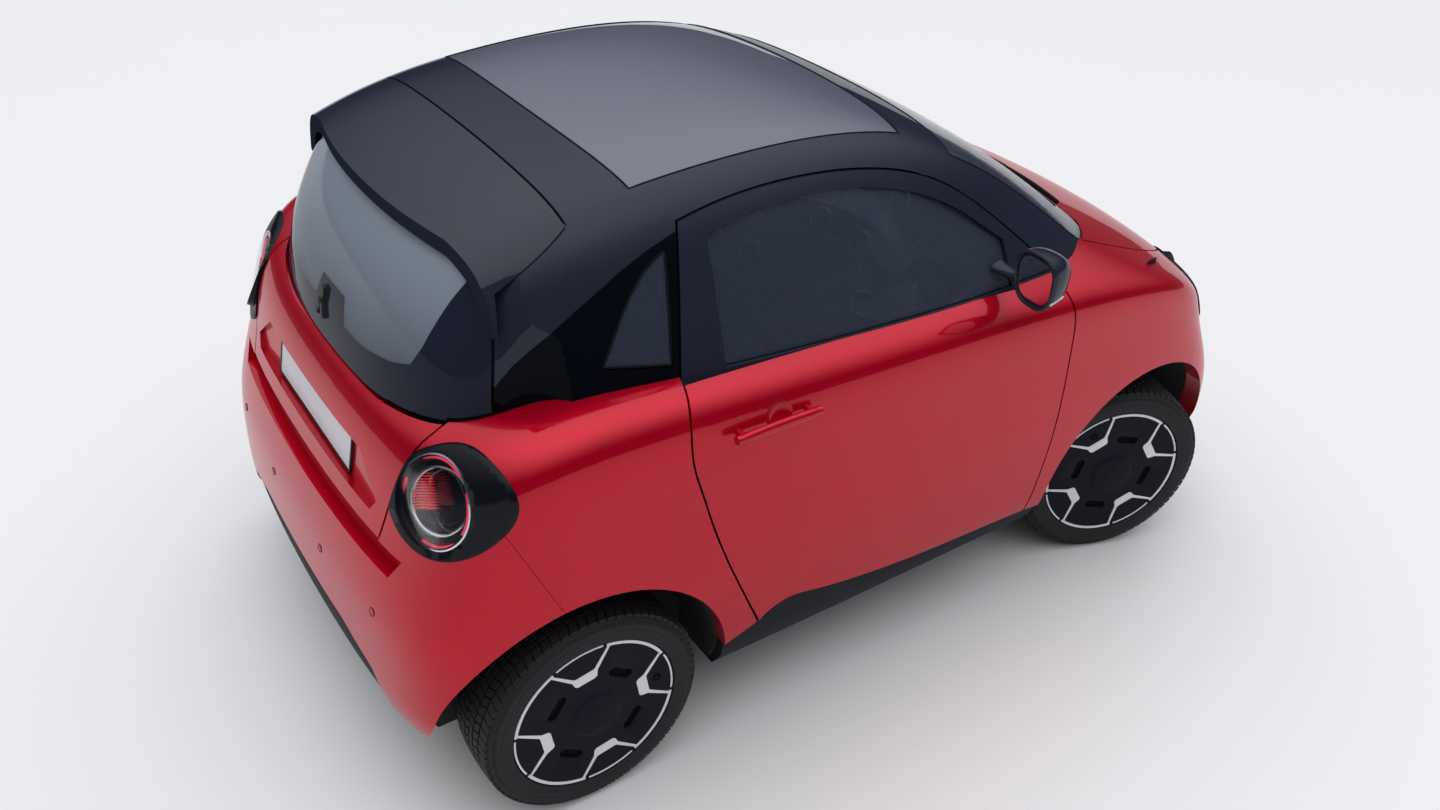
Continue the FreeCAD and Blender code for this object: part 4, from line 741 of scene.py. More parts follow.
sensor_disc = [(0.0, 0.0012), (0.0088, 0.0012), (0.0096, 0.0008), (0.0098, -0.002), (0.0, -0.002)]
sensor_rim = [(0.01, -0.001), (0.01, 0.0014), (0.0108, 0.0017), (0.0115, 0.0012), (0.0117, -0.001)]
sensor_mesh = joined("sensor", turned("disc", sensor_disc, red_paint, 40),
    turned("rim", sensor_rim, tray_black, 40, True))
bumper_skin = plain_copy("rear_bumper")
for number, (y, z) in enumerate(SENSORS):
    place = frame_on(bumper_skin, (-2.0, y, z), (1.0, 0.0, 0.0), (0.0, 1.0, 0.0))
    placed("parking_sensor_%d" % number, sensor_mesh, place, "car_body")

# ---- Door furniture ----
# The painted door grip is moulded over its steel bar with a joint by the lock; the mirror has a
# silvered glass in its shell and a clear signal lamp along its foot.
GRIP_X = (-0.612, -0.373)
GRIP_Y, GRIP_Z = 0.8635, 1.0145
GRIP_HALF = (0.0105, 0.015)
GRIP_STEPS, GRIP_RINGS = 28, 24
GRIP_JOINT, JOINT_SHARE = 3, 0.93
LOCK_SPOT = (-0.592, 1.5, 0.985)
MIRROR_MIDDLE = (0.2462, 0.888, 1.189)
MIRROR_GLASS_HALF = (0.053, 0.056)
MIRROR_HALF = (0.072, 0.076)
MIRROR_REAR_X, MIRROR_FRONT_X = 0.239, 0.356
MIRROR_STEPS, MIRROR_SPOTS = 14, 48
SHELL_SQUARE, SHELL_ROUND = 0.74, 2.4
ARM_X = 0.306
MIRROR_ARM = [(0.85, 1.146, 0.024, 0.02), (0.812, 1.137, 0.02, 0.015), (0.765, 1.131, 0.02, 0.013),
    (0.722, 1.129, 0.024, 0.014), (0.708, 1.13, 0.028, 0.017)]
SIGNAL_SPOT = (0.272, 1.5, 1.15)

mirror_glass = grained("silvered glass", (0.8, 0.82, 0.84), (0.78, 0.8, 0.83), 20.0, 0.000002, 0.03,
    spread=0.01, metallic=1.0)
signal_white = grained("signal lamp", (0.78, 0.8, 0.83), (0.7, 0.72, 0.76), 200.0, 0.00003, 0.2,
    Coat_Weight=0.6)


def mirror_shell():
    """The mirror's egg-shaped shell, open to the glass at its rear, with its arm to the door."""
    rings = []
    mouth = [(0.84, 0.008), (0.86, 0.0076), (0.89, 0.001), (0.93, 0.0), (0.965, 0.0012)]
    stations = [(size, MIRROR_REAR_X + inset) for size, inset in mouth]
    depth = MIRROR_FRONT_X - MIRROR_REAR_X
    for k in range(MIRROR_STEPS + 1):
        share = 0.04 + 0.955 * sin(pi / 2 * k / MIRROR_STEPS)
        stations.append(((1 - share ** SHELL_ROUND) ** 0.5, MIRROR_REAR_X + depth * share))
    for size, x in stations:
        share = (x - MIRROR_REAR_X) / depth
        ring = []
        for spot in circle(1.0, MIRROR_SPOTS):
            across, up = (copysign(abs(v) ** SHELL_SQUARE, v) for v in spot)
            egg = 0.93 + 0.07 * up
            ring.append((x, MIRROR_MIDDLE[1] + MIRROR_HALF[0] * size * across * egg - 0.012 * share,
                MIRROR_MIDDLE[2] + MIRROR_HALF[1] * size * up - 0.008 * share))
        rings.append(ring)
    arm = [[(ARM_X + wide * across, y, z + tall * up) for across, up in circle(1.0, 32)]
        for y, z, wide, tall in MIRROR_ARM]
    return joined("shell", tube_of(rings, gloss_black), tube_of(arm, gloss_black))


def grip_mesh():
    """A slim rounded grip that thins to its ends, swept along X, with a fine joint ring."""
    rings = []
    for k in range(GRIP_STEPS + 1):
        share = k / GRIP_STEPS
        ends = min(1.0, sqrt(max(0.0, 1 - (2 * share - 1) ** 8)) + 0.02)
        swell = 0.78 + 0.22 * sin(pi * share)
        groove = JOINT_SHARE if k == GRIP_JOINT else 1.0
        rings.append([(GRIP_X[0] + (GRIP_X[1] - GRIP_X[0]) * share,
            GRIP_Y + GRIP_HALF[0] * ends * groove * out, GRIP_Z + GRIP_HALF[1] * ends * swell * groove * up)
            for up, out in circle(1.0, GRIP_RINGS)])
    return tube_of(rings, red_paint)


lock_mesh = joined("lock",
    turned("barrel", [(0.0, 0.0012), (0.0068, 0.0012), (0.0078, 0.0006), (0.008, -0.002)], red_paint, 32),
    slab("key slot", 0.0009, 0.0042, 0.0007, 0.001, 0.0015, tray_black, 0.0))
mirror_rim = [half + 0.0035 for half in MIRROR_GLASS_HALF]
mirror_pane = slab("pane", *MIRROR_GLASS_HALF, 0.034, -0.0005, 0.0008, mirror_glass, 0.0005, 10)
mirror_mesh = joined("mirror glass", mirror_pane, frame_ring(*mirror_rim, 0.037, 0.0034, -0.0008, 0.0016,
    tray_black))
signal_mesh = slab("signal", 0.028, 0.0042, 0.004, -0.006, 0.0018, signal_white, 0.0008)
shell = mirror_shell()
lock_place = frame_on(plain_copy("door_left"), LOCK_SPOT, (0.0, -1.0, 0.0), (1.0, 0.0, 0.0))
pane_place = frame_of(MIRROR_MIDDLE, (-1, 0, 0), (0, -1, 0))
signal_place = frame_on(shell, SIGNAL_SPOT, (0.0, -1.0, 0.0), (1.0, 0.0, 0.0))
for side, sign in SIDES.items():
    flip = Matrix.Diagonal((1, sign, 1, 1))
    door = "door_" + side
    placed("door_grip_" + side, grip_mesh(), flip, door)
    placed("door_lock_" + side, lock_mesh, flip @ lock_place, door)
    placed("mirror_glass_" + side, mirror_mesh, flip @ pane_place, door)
    placed("mirror_shell_" + side, shell, flip, door, ["mirror_" + side])
    placed("mirror_signal_" + side, signal_mesh, flip @ signal_place, door)


# ---- Tyres ----
# Four radial tyres of ribbed black rubber: the tread's blocks stand on the carcass in rows, and
# fine ribs and rings are moulded in the sidewalls.
WHEEL_RADIUS = 0.296
WHEEL_PLANE_Y = 0.72
KINGPIN_Y = 0.67
AXLE_X = {"front": 0.907, "rear": -0.965}
STEER_REST = radians(-19.2)
TREAD_ROWS = 74
TREAD_BASE, TREAD_TOP = 0.2888, 0.2957
TREAD_SINK, BLOCK_CHAMFER, BLOCK_INSET = 0.002, 0.0007, 0.0008
TREAD_CROWN = 0.75
TREAD_RIBS = [(-0.0795, -0.052), (-0.0465, -0.0245), (-0.019, -0.002), (0.002, 0.019), (0.0245, 0.0465),
    (0.052, 0.0795)]
BLOCK_SHARE, BLOCK_LEAN = 0.86, 0.35
SIDE_RIBS = 150


def shape_tree(name, inputs):
    """A geometry tree with a Geometry, these inputs and a Finish, and its input sockets."""
    tree = bpy.data.node_groups.new(name, "GeometryNodeTree")
    for label, kind, default in (("Geometry", "Geometry", None), *inputs, ("Finish", "Material", None)):
        socket = tree.interface.new_socket(label, in_out="INPUT", socket_type="NodeSocket" + kind)
        if default is not None:
            socket.default_value = default
    tree.interface.new_socket("Geometry", in_out="OUTPUT", socket_type="NodeSocketGeometry")
    return tree, tree.nodes.new("NodeGroupInput").outputs


def close_tree(tree, given, shape):
    """Makes the shape real, gives it its Finish and puts it out."""
    real = added(tree, "GeometryNodeRealizeInstances", {0: shape.outputs[0]})
    paint = added(tree, "GeometryNodeSetMaterial",
        {"Geometry": real.outputs[0], "Material": given["Finish"]})
    added(tree, "NodeGroupOutput", {0: paint.outputs[0]})
    return tree


def run_tree(tree, mesh, **values):
    """The mesh after the tree with these inputs, as one plain mesh."""
    carrier = object_from("carrier", mesh)
    modifier = carrier.modifiers.new("tree", "NODES")
    modifier.node_group = tree
    keys = {item.name: item.identifier for item in tree.interface.items_tree if item.in_out == "INPUT"}
    for label, value in values.items():
        modifier[keys[label]] = value
    return evaluated(carrier)


def repeat_tree():
    """Copies of the given mesh turned about the Z axis, one for each count."""
    tree, given = shape_tree("repeated piece", [("Count", "Int", 8), ("Turn", "Float", 0.0)])
    line = added(tree, "GeometryNodeMeshLine", {"Count": given["Count"], "Offset": (0.0, 0.0, 0.0)})
    angle = math_node(tree, "MULTIPLY", tree.nodes.new("GeometryNodeInputIndex").outputs[0], given["Turn"])
    spin = added(tree, "ShaderNodeCombineXYZ", {"Z": angle})
    copies = added(tree, "GeometryNodeInstanceOnPoints",
        {"Points": line.outputs[0], "Instance": given["Geometry"], "Rotation": spin.outputs[0]})
    return close_tree(tree, given, copies)


REPEAT = repeat_tree()


def ring_of(mesh, count):
    """The mesh repeated round the whole wheel."""
    return run_tree(REPEAT, mesh, Count=count, Turn=2 * pi / count, Finish=tyre_rubber)


def wheel_turn(end, side):
    """Places a wheel drawn about the Z axis, outer face up, on its axle."""
    sign = SIDES[side]
    upright = Matrix(((1, 0, 0), (0, 0, sign), (0, 1, 0))).to_4x4()
    place = shift(AXLE_X[end], sign * WHEEL_PLANE_Y, WHEEL_RADIUS) @ upright
    if end == "front":
        pin = Vector((AXLE_X[end], sign * KINGPIN_Y, 0))
        steered = Matrix.Rotation(STEER_REST, 4, "Z")
        place = Matrix.Translation(pin) @ steered @ Matrix.Translation(-pin) @ place
    return place


WHEELS = [(end + "_" + side, end, wheel_turn(end, side)) for end in AXLE_X for side in SIDES]
tyre_rubber = grained("tyre rubber", (0.008, 0.008, 0.01), (0.014, 0.014, 0.016), 420.0, 0.0003, 0.66,
    spread=0.16, tint_scale=18.0, Specular_IOR_Level=0.35)


def block_row():
    """One row of tread blocks across the tyre, at angle zero; the ribs lean to and fro in turn."""
    half = pi / TREAD_ROWS * BLOCK_SHARE
    points, faces = [], []
    for rib, (low, high) in enumerate(TREAD_RIBS):
        lean = BLOCK_LEAN * half * (1 if rib % 2 else -1)
        first = len(points)
        for inset, top in ((0.0, TREAD_BASE - TREAD_SINK), (0.0, TREAD_TOP - BLOCK_CHAMFER),
                (BLOCK_INSET, TREAD_TOP)):
            for a_sign, y in ((-1, low + inset), (1, low + inset), (1, high - inset), (-1, high - inset)):
                angle = a_sign * (half - inset / TREAD_TOP) + lean * (1 if y > (low + high) / 2 else -1)
                points.append((*polar(top - TREAD_CROWN * y * y, angle), y))
        for ring in (first, first + 4):
            faces += [(ring + i, ring + (i + 1) % 4, ring + 4 + (i + 1) % 4, ring + 4 + i)
                for i in range(4)]
        faces.append(tuple(first + 8 + i for i in range(4)))
        faces.append(tuple(first + i for i in (3, 2, 1, 0)))
    return mesh_from("block row", points, faces, tyre_rubber, 20.0)


carcass_half = [(TREAD_BASE, 0.0), (0.2882, 0.03), (0.2865, 0.055), (0.2845, 0.074), (0.2818, 0.0805),
    (0.277, 0.0858), (0.27, 0.0896), (0.2685, 0.0896), (0.2675, 0.0908), (0.256, 0.092), (0.255, 0.0912),
    (0.2535, 0.0912), (0.2525, 0.0921), (0.242, 0.0922), (0.241, 0.0915), (0.2395, 0.0915), (0.2385, 0.092),
    (0.233, 0.0912), (0.229, 0.0905), (0.2262, 0.0912), (0.2235, 0.0895), (0.2228, 0.085), (0.222, 0.079),
    (0.21, 0.078)]
carcass = turned("carcass", [(r, -y) for r, y in carcass_half[:0:-1]] + carcass_half, tyre_rubber, 144,
    True, 28.0)
rib_foot = [(0.0, -0.001), (0.0085, -0.001), (0.0085, 0.001), (0.0, 0.001)]
side_rib = mesh_from("side rib", [(0.2692 + dr, dy, z) for z in (0.089, 0.0902) for dr, dy in rib_foot],
    [(0, 1, 2, 3), (4, 5, 6, 7), (0, 1, 5, 4), (1, 2, 6, 5), (2, 3, 7, 6), (3, 0, 4, 7)], tyre_rubber, 20.0)
tyre_mesh = joined("tyre", carcass, ring_of(block_row(), TREAD_ROWS), ring_of(side_rib, SIDE_RIBS),
    ring_of(moved(side_rib, Matrix.Rotation(pi, 4, "X")), SIDE_RIBS))
for key, _, place in WHEELS:
    placed("road_tyre_" + key, tyre_mesh, place, "wheel_" + key, ["tyre_" + key])

# ---- Wheels ----
# Pressed rims behind a dark plastic cover with four forked figures and arcs in satin white,
# four cooling slots near the hub, a plain cap and a hole for the valve.
COVER_FACE = 0.0862
INLAY, INLAY_SINK = 0.0014, 0.0012
COVER_EDGE = 0.0012
RING_IN, RING_OUT = 0.2112, 0.2196
THIN_IN, THIN_OUT = 0.2142, 0.2192
FORK_HALF, ARC_ARM, THIN_HALF = [radians(a) for a in (21.0, 1.25, 17.0)]
FORK_SIDE = [(0.1205, 0.024), (0.125, 0.03), (0.143, 0.0352), (0.196, 0.08), (0.2004, 0.0752),
    (0.1508, 0.0288), (0.149, 0.024)]
SLOT_AT, SLOT_HALF, SLOT_WIDE = 0.126, 0.036, 0.0125
VALVE_AT = 0.176
FIRST_FORK = {"front": radians(30.5), "rear": radians(9.5)}
VALVE_FORK = {"front": 1, "rear": 0}

cover_grey = grained("cover grey", (0.009, 0.01, 0.016), (0.013, 0.014, 0.021), 900.0, 0.00012, 0.42,
    spread=0.1, Specular_IOR_Level=0.05)
satin_white = grained("satin white", (0.83, 0.84, 0.85), (0.78, 0.79, 0.81), 700.0, 0.00004, 0.28,
    Coat_Weight=0.4)
slot_dark = grained("slot dark", (0.004, 0.004, 0.005), (0.007, 0.007, 0.008), 300.0, 0.0002, 0.8,
    Specular_IOR_Level=0.05)


def cover_mesh():
    """The cover's face and rim as one turned shell, cut through by the slots."""
    profile = [(0.0, 0.0935), (0.056, 0.0932), (0.0605, 0.0922), (0.0645, 0.0893), (0.069, 0.0872),
        (0.076, 0.0864), (0.1, 0.086), (0.19, 0.086), (0.216, COVER_FACE), (0.2198, COVER_FACE),
        (0.2215, 0.0852), (0.2218, 0.0835), (0.221, 0.078), (0.212, 0.076), (0.19, 0.079), (0.076, 0.079),
        (0.03, 0.081), (0.0, 0.0812)]
    flat = (SLOT_HALF - SLOT_WIDE) / SLOT_AT
    outline = [(SLOT_AT + SLOT_WIDE * sin(bend), end * (flat + SLOT_WIDE / SLOT_AT * cos(bend)))
        for end in (1, -1) for bend in [end * pi * (i / 8 - 0.5) for i in range(9)]]
    holes = [plate_piece("slot", [polar(r, pi / 4 + k * pi / 2 + a) for r, a in outline], 0.05, 0.12,
        slot_dark, 0.0) for k in range(4)]
    return smoothed(bored(turned("cover", profile, cover_grey, 160), joined("slots", *holes), COVER_EDGE),
        35.0)


def arc_piece(name, inner, outer, start, end, steps):
    """A flat white arc let into the cover's face."""
    angles = [start + (end - start) * k / steps for k in range(steps + 1)]
    outline = [polar(outer, a) for a in angles] + [polar(inner, a) for a in reversed(angles)]
    return plate_piece(name, outline, COVER_FACE - INLAY_SINK, COVER_FACE + INLAY, satin_white)


def fork_meshes():
    """The white figures: thick forked nodes, arcs over the slots and thin arcs in the forks."""
    pieces = []
    outline = FORK_SIDE + [(x, -y) for x, y in FORK_SIDE[::-1]]
    fork = plate_piece("fork", outline, COVER_FACE - INLAY_SINK, COVER_FACE + INLAY, satin_white)
    for k in range(4):
        middle = k * pi / 2
        start, end = middle + FORK_HALF, middle + pi / 2 - FORK_HALF
        pieces += [arc_piece("arc", RING_IN, RING_OUT, start - ARC_ARM, end + ARC_ARM, 28),
            moved(fork, Matrix.Rotation(middle, 4, "Z")),
            arc_piece("thin arc", THIN_IN, THIN_OUT, middle - THIN_HALF, middle + THIN_HALF, 16)]
    return pieces


barrel = turned("barrel", [(0.2035, 0.078), (0.2035, -0.08), (0.212, -0.0835), (0.212, -0.079),
    (0.199, -0.076), (0.194, -0.06), (0.19, -0.04), (0.19, 0.04), (0.17, 0.044), (0.11, 0.045),
    (0.09, 0.042), (0.062, 0.041), (0.062, 0.006), (0.027, 0.006), (0.027, 0.078)], slot_dark, 96, True)
cap = turned("cap", [(0.0, 0.0948), (0.012, 0.0948), (0.0228, 0.0942), (0.0238, 0.0932), (0.0238, 0.09)],
    cover_grey, 64)
cap_line = turned("cap line", [(0.0245, 0.0931), (0.0245, 0.0937), (0.0262, 0.0937), (0.0262, 0.0931)],
    cover_grey, 64, True)
wheel_parts = joined("wheel", cover_mesh(), barrel, *fork_meshes(), cap, cap_line)
valve_rim = [(0.0125, 0.084), (0.0125, 0.0868), (0.0142, 0.0872), (0.0152, 0.0862), (0.0152, 0.084)]
valve_hole = turned("hole", [(0.0, 0.0861), (0.0126, 0.0861), (0.0126, 0.085)], slot_dark, 32)
valve_cap = turned("cap", [(0.0, 0.0885), (0.003, 0.0885), (0.0038, 0.0875), (0.0038, 0.084)], cover_grey,
    20)
valve = joined("valve", turned("rim", valve_rim, cover_grey, 32, True), valve_hole, valve_cap)
for key, end, place in WHEELS:
    spot = polar(VALVE_AT, FIRST_FORK[end] + VALVE_FORK[end] * pi / 2)
    whole = joined("covered wheel", moved(wheel_parts, Matrix.Rotation(FIRST_FORK[end], 4, "Z")),
        moved(valve, shift(*spot)))
    placed("covered_wheel_" + key, whole, place, "wheel_" + key, ["wheel_" + key])


# ---- Glass seals and hatch catch ----
# Extruded black rubber fills the joint round each pane; the hatch glass has no frame below, so
# its catch is a forked casting bonded to the glass.
SEAL_RADIUS = 0.0032
SEAL_CORNER, SEAL_FACING = 0.7, 0.45
SEALED = [("roof_glass", (0.0, 0.0, 1.0), "car_body"), ("windscreen", (0.75, 0.0, 0.66), "car_body"),
    ("quarter_glasses", (0.0, 0.9, 0.3), "car_body"), ("door_glass_left", (0.0, 0.9, 0.3), "door_left"),
    ("door_glass_right", (0.0, 0.9, 0.3), "door_right")]
CATCH = [(-0.013, 0.034), (0.0, 0.043), (0.015, 0.04), (0.021, 0.02), (0.016, 0.0), (0.033, -0.034),
    (0.02, -0.042), (0.005, -0.016), (-0.012, -0.042), (-0.03, -0.032), (-0.015, 0.0)]
CATCH_Y, CATCH_Z = 0.045, 1.117

seal_rubber = grained("seal rubber", (0.006, 0.007, 0.01), (0.009, 0.01, 0.014), 500.0, 0.0002, 0.6,
    Specular_IOR_Level=0.05)


def seal_tree():
    """A round bead of this radius along the given mesh's edges."""
    tree, given = shape_tree("seal bead", [("Radius", "Float", SEAL_RADIUS)])
    line = added(tree, "GeometryNodeMeshToCurve", {0: given["Geometry"]})
    round_bead = added(tree, "GeometryNodeCurvePrimitiveCircle",
        {"Resolution": 8, "Radius": given["Radius"]})
    bead = added(tree, "GeometryNodeCurveToMesh",
        {"Curve": line.outputs[0], "Profile Curve": round_bead.outputs[0]})
    return close_tree(tree, given, bead)


SEAL = seal_tree()


def seal_mesh(node, outward):
    """A bead along the edge of the pane's outer face, which looks the given way."""
    shape = shape_of(plain_copy(node))

    def is_outer(face):
        across = copysign(outward[1], face.calc_center_median().y) if outward[1] else 0.0
        return face.normal.dot(Vector((outward[0], across, outward[2])).normalized()) > SEAL_FACING

    keep = {edge for edge in shape.edges if len(edge.link_faces) == 2
        and edge.calc_face_angle(0.0) > SEAL_CORNER
        and sum(is_outer(face) for face in edge.link_faces) == 1}
    bmesh.ops.delete(shape, geom=shape.faces[:], context="FACES_ONLY")
    bmesh.ops.delete(shape, geom=[edge for edge in shape.edges if edge not in keep], context="EDGES")
    bmesh.ops.delete(shape, geom=[vert for vert in shape.verts if not vert.link_edges], context="VERTS")
    bead = run_tree(SEAL, stored(shape, bpy.data.meshes.new("rim")), Radius=SEAL_RADIUS, Finish=seal_rubber)
    bead.shade_smooth()
    return bead


for node, outward, body in SEALED:
    placed(node + "_seal", seal_mesh(node, outward), STILL, body)

catch = joined("catch", plate_piece("fork", CATCH, -0.001, 0.009, tray_black, 0.003),
    turned("boss", [(0.0, 0.0135), (0.0065, 0.0135), (0.0085, 0.012), (0.009, 0.006)], tray_black, 32))
hatch_skin = plain_copy("tailgate_glass")
catch_place = frame_on(hatch_skin, (-2.0, CATCH_Y, CATCH_Z), (1.0, 0.0, 0.0), (0.0, -1.0, 0.0))
placed("hatch_catch", catch, catch_place, "hatch")


# ---- Wipers ----
# Two pressed arms with rubber blades park along the windscreen's foot, over the moulded cowl.
WIPERS = [(0.4, 0.02), (-0.1, -0.47)]
WIPER_Z, WIPER_BOW = 1.0972, 0.035
WIPER_STEPS, ARM_STEPS = 12, 6
BLADE_HALF, BLADE_TALL, BLADE_LIFT = 0.0045, 0.007, 0.008
ARM_TALL = 0.004

windscreen_skin = plain_copy("windscreen")


def wiper_meshes(start, end):
    """A blade laid on the glass between two widths, and its tapering arm to the spindle."""
    blade, arm = [], []
    for k in range(WIPER_STEPS + 1):
        share = k / WIPER_STEPS
        point, normal = ray_on(windscreen_skin,
            (2.0, start + (end - start) * share, WIPER_Z + WIPER_BOW * sin(pi * share)), (-1.0, 0.0, 0.0))
        across = normal.cross(Vector((0, 1, 0))).normalized()
        middle = point + normal * BLADE_LIFT
        lift = middle + normal * (0.01 - 0.001 * k) - across * 0.004
        for rings, centre, wide, tall in ((blade, middle, BLADE_HALF, BLADE_TALL),
                (arm, lift, 0.011 - 0.0012 * k, ARM_TALL)):
            rings.append([centre + across * (wide * x) + normal * (tall * y) for x, y in circle(1.0, 12)])
    return joined("wiper", tube_of(blade, seal_rubber), tube_of(arm[:ARM_STEPS], tray_black))


for number, (start, end) in enumerate(WIPERS):
    placed("wiper_%d" % number, wiper_meshes(start, end), STILL, "car_body")


# ---- Cabin ----
# Two integral-headrest seats in woven cloth with leather-look bolsters, a soft-touch dashboard
# with vents and a screen, and a three-spoke steering wheel in stitched leather.
SEAT_Y = 0.345
SEAT_LEAN = radians(12.8)
SEAT_RISE = radians(-4.0)
CUSHION_AT = (-0.19, 0.0, 0.47)
BACK_FOOT = (-0.3885, 0.0, 0.5067)
SEAM_DEEP, SEAM_HALF = 0.008, 0.009
PAD_CUTS = 27
VENT_YS = (-0.57, -0.1, 0.1, 0.57)
VENT_SLATS, VENT_PITCH, VENT_REACH, VENT_SLAT_HALF = 5, 0.0115, 0.033, 0.0012
WHEEL_CENTRE = Vector((0.195, 0.345, 0.905))
WHEEL_AXIS = Vector((-cos(radians(24.0)), 0.0, sin(radians(24.0))))

seat_cloth = grained("seat cloth", (0.085, 0.09, 0.105), (0.12, 0.125, 0.14), 1400.0, 0.0007, 0.92,
    spread=0.1, tint_scale=220.0, Sheen_Weight=0.35, Sheen_Roughness=0.4)
seat_hide = grained("seat hide", (0.04, 0.042, 0.05), (0.055, 0.058, 0.066), 640.0, 0.0004, 0.48,
    spread=0.12)
soft_dark = grained("soft dash skin", (0.018, 0.019, 0.021), (0.025, 0.026, 0.029), 900.0, 0.0003, 0.7,
    spread=0.14)
wheel_hide = grained("wheel hide", (0.012, 0.012, 0.013), (0.018, 0.018, 0.02), 760.0, 0.0003, 0.45,
    spread=0.12)
screen_glass = grained("screen glass", (0.006, 0.007, 0.01), (0.01, 0.011, 0.015), 60.0, 0.00001, 0.08,
    Coat_Weight=0.8)
satin_metal = grained("satin trim metal", (0.52, 0.53, 0.55), (0.44, 0.45, 0.47), 400.0, 0.00005, 0.3,
    metallic=1.0)
dress(soft_dark, "dashboard", "cabin_lining")
dress(wheel_hide, "steering_wheel")


def pad_mesh(half, swell, seams, material):
    """A crowned pad whose sides pull in between its corners, pinched along its seams at these X."""
    shape = bmesh.new()
    bmesh.ops.create_cube(shape, size=2.0)
    bmesh.ops.subdivide_edges(shape, edges=shape.edges[:], cuts=PAD_CUTS, use_grid_fill=True)
    for vert in shape.verts:
        x, y, z = vert.co
        wide = x * sqrt(1 - 0.28 * y * y - 0.22 * z * z + 0.07 * y * y * z * z)
        deep = y * sqrt(1 - 0.26 * x * x - 0.22 * z * z + 0.07 * x * x * z * z)
        tall = z * sqrt(1 - 0.32 * x * x - 0.28 * y * y + 0.12 * x * x * y * y)
        crown = swell * (1 - x * x) * (1 - y * y)
        place = Vector((wide * half[0], deep * half[1], tall * half[2] + crown * (1.0 if z > 0 else -0.25)))
        if z > 0:
            place.z -= sum(SEAM_DEEP * z * exp(-((place.x - at) / SEAM_HALF) ** 2) for at in seams)
        vert.co = place
    bmesh.ops.recalc_face_normals(shape, faces=shape.faces)
    mesh = stored(shape, bpy.data.meshes.new("pad"), material)
    mesh.shade_smooth()
    return mesh


def seat_meshes():
    """The seat's pads (cushion, backrest, headrest and side bolsters), and its back shell."""
    flat = shift(*CUSHION_AT) @ Matrix.Rotation(SEAT_RISE, 4, "Y")
    upright = frame_of(BACK_FOOT, (cos(SEAT_LEAN), 0.0, sin(SEAT_LEAN)),
        (-sin(SEAT_LEAN), 0.0, cos(SEAT_LEAN)))
    cushion_seams, back_seams = (-0.05, 0.07), (-0.09, 0.05)
    pads = [((0.205, 0.142, 0.05), 0.014, cushion_seams, seat_cloth, flat),
        ((0.238, 0.142, 0.05), 0.014, back_seams, seat_cloth, upright @ shift(0.262, 0)),
        ((0.1, 0.125, 0.044), 0.012, (), seat_hide, upright @ shift(0.575, 0, -0.004))]
    for sign in (-1, 1):
        cushion = flat @ shift(0, sign * 0.178, 0.008) @ Matrix.Rotation(radians(-14 * sign), 4, "X")
        back = upright @ shift(0.25, sign * 0.176, 0.01) @ Matrix.Rotation(radians(-16 * sign), 4, "X")
        pads += [((0.205, 0.048, 0.058), 0.008, cushion_seams, seat_hide, cushion),
            ((0.212, 0.044, 0.056), 0.008, back_seams, seat_hide, back)]
    shell = slab("back shell", 0.3, 0.185, 0.08, -0.06, -0.036, tray_black, 0.008, 10)
    return ([moved(pad_mesh(*shape), matrix) for *shape, matrix in pads],
        moved(shell, upright @ shift(0.32, 0.0)))


pads, back_shell = seat_meshes()
base = slab("seat base", 0.15, 0.165, 0.03, 0.264, 0.44, tray_black, 0.004)
base = moved(base, shift(-0.225, 0.0))
for side, sign in SIDES.items():
    move = shift(0.0, sign * SEAT_Y)
    seat = placed("seat_pads_" + side, joined("pads", *pads), move, "car_body",
        ["seat_" + side])
    placed("seat_frame_" + side, joined("frame", base, back_shell), move, "car_body")


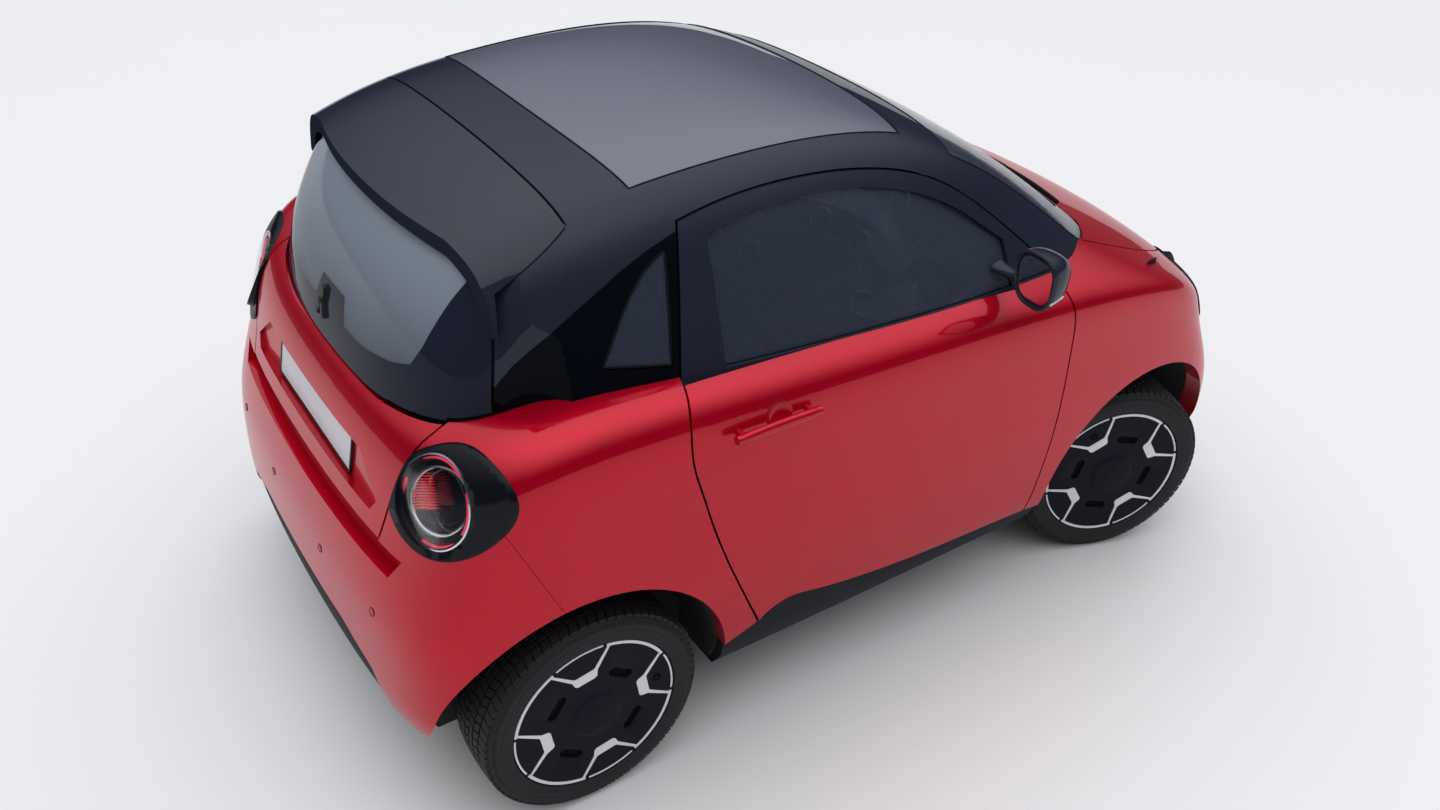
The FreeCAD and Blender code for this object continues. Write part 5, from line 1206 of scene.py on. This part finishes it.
def vent_mesh():
    """A round air vent: a satin ring, a dark throat and its slats."""
    ring = [(0.034, 0.0), (0.034, 0.006), (0.038, 0.009), (0.043, 0.006), (0.044, 0.0)]
    parts = [turned("vent ring", ring, satin_metal, 48, True),
        turned("throat", [(0.0, 0.0004), (0.034, 0.0008), (0.0345, 0.003)], tray_black, 48)]
    for k in range(VENT_SLATS):
        y = (k - VENT_SLATS // 2) * VENT_PITCH
        reach = sqrt(VENT_REACH ** 2 - y * y)
        parts.append(slat(-reach, reach, y, VENT_SLAT_HALF, 0.001, 0.0055, tray_black))
    return joined("vent", *parts)


def screen_mesh(half_x, half_y, radius, deep, rim, bevel, steps=6):
    """A black case with a dark pane set in its face, this far in from its edge."""
    return joined("screen", slab("case", half_x, half_y, radius, 0.0, deep, tray_black, bevel, steps),
        slab("pane", half_x - rim[0], half_y - rim[1], radius - rim[2], deep - 0.0002, deep + 0.0008,
        screen_glass, 0.0004, steps))


dash_skin = plain_copy("dashboard")
vent = vent_mesh()
dash_pieces = [("air_vent_%d" % number, vent, y, 0.915) for number, y in enumerate(VENT_YS)]
screen = screen_mesh(0.125, 0.062, 0.014, 0.012, (0.006, 0.006, 0.004), 0.003)
dials = screen_mesh(0.11, 0.05, 0.045, 0.03, (0.01, 0.008, 0.007), 0.006, 10)
dash_pieces += [("centre_screen", screen, 0.0, 0.835), ("instrument_pod", dials, SEAT_Y, 0.925)]
for name, mesh, y, z in dash_pieces:
    placed(name, mesh, frame_on(dash_skin, (-0.3, y, z), (1.0, 0.0, 0.0), (0.0, -1.0, 0.0)), "car_body")

# the wheel's centre pod turns with it, in a satin rim
point, _ = ray_on(plain_copy("steering_wheel"), WHEEL_CENTRE + 0.3 * WHEEL_AXIS, -WHEEL_AXIS)
pod = joined("hub pod", slab("pod", 0.052, 0.04, 0.028, -0.002, 0.007, wheel_hide, 0.004, 10),
    frame_ring(0.0535, 0.0415, 0.029, 0.0022, 0.0, 0.0062, satin_metal))
placed("wheel_hub_pod", pod, frame_of(point, WHEEL_AXIS, (0.0, -1.0, 0.0)), "steering_wheel")
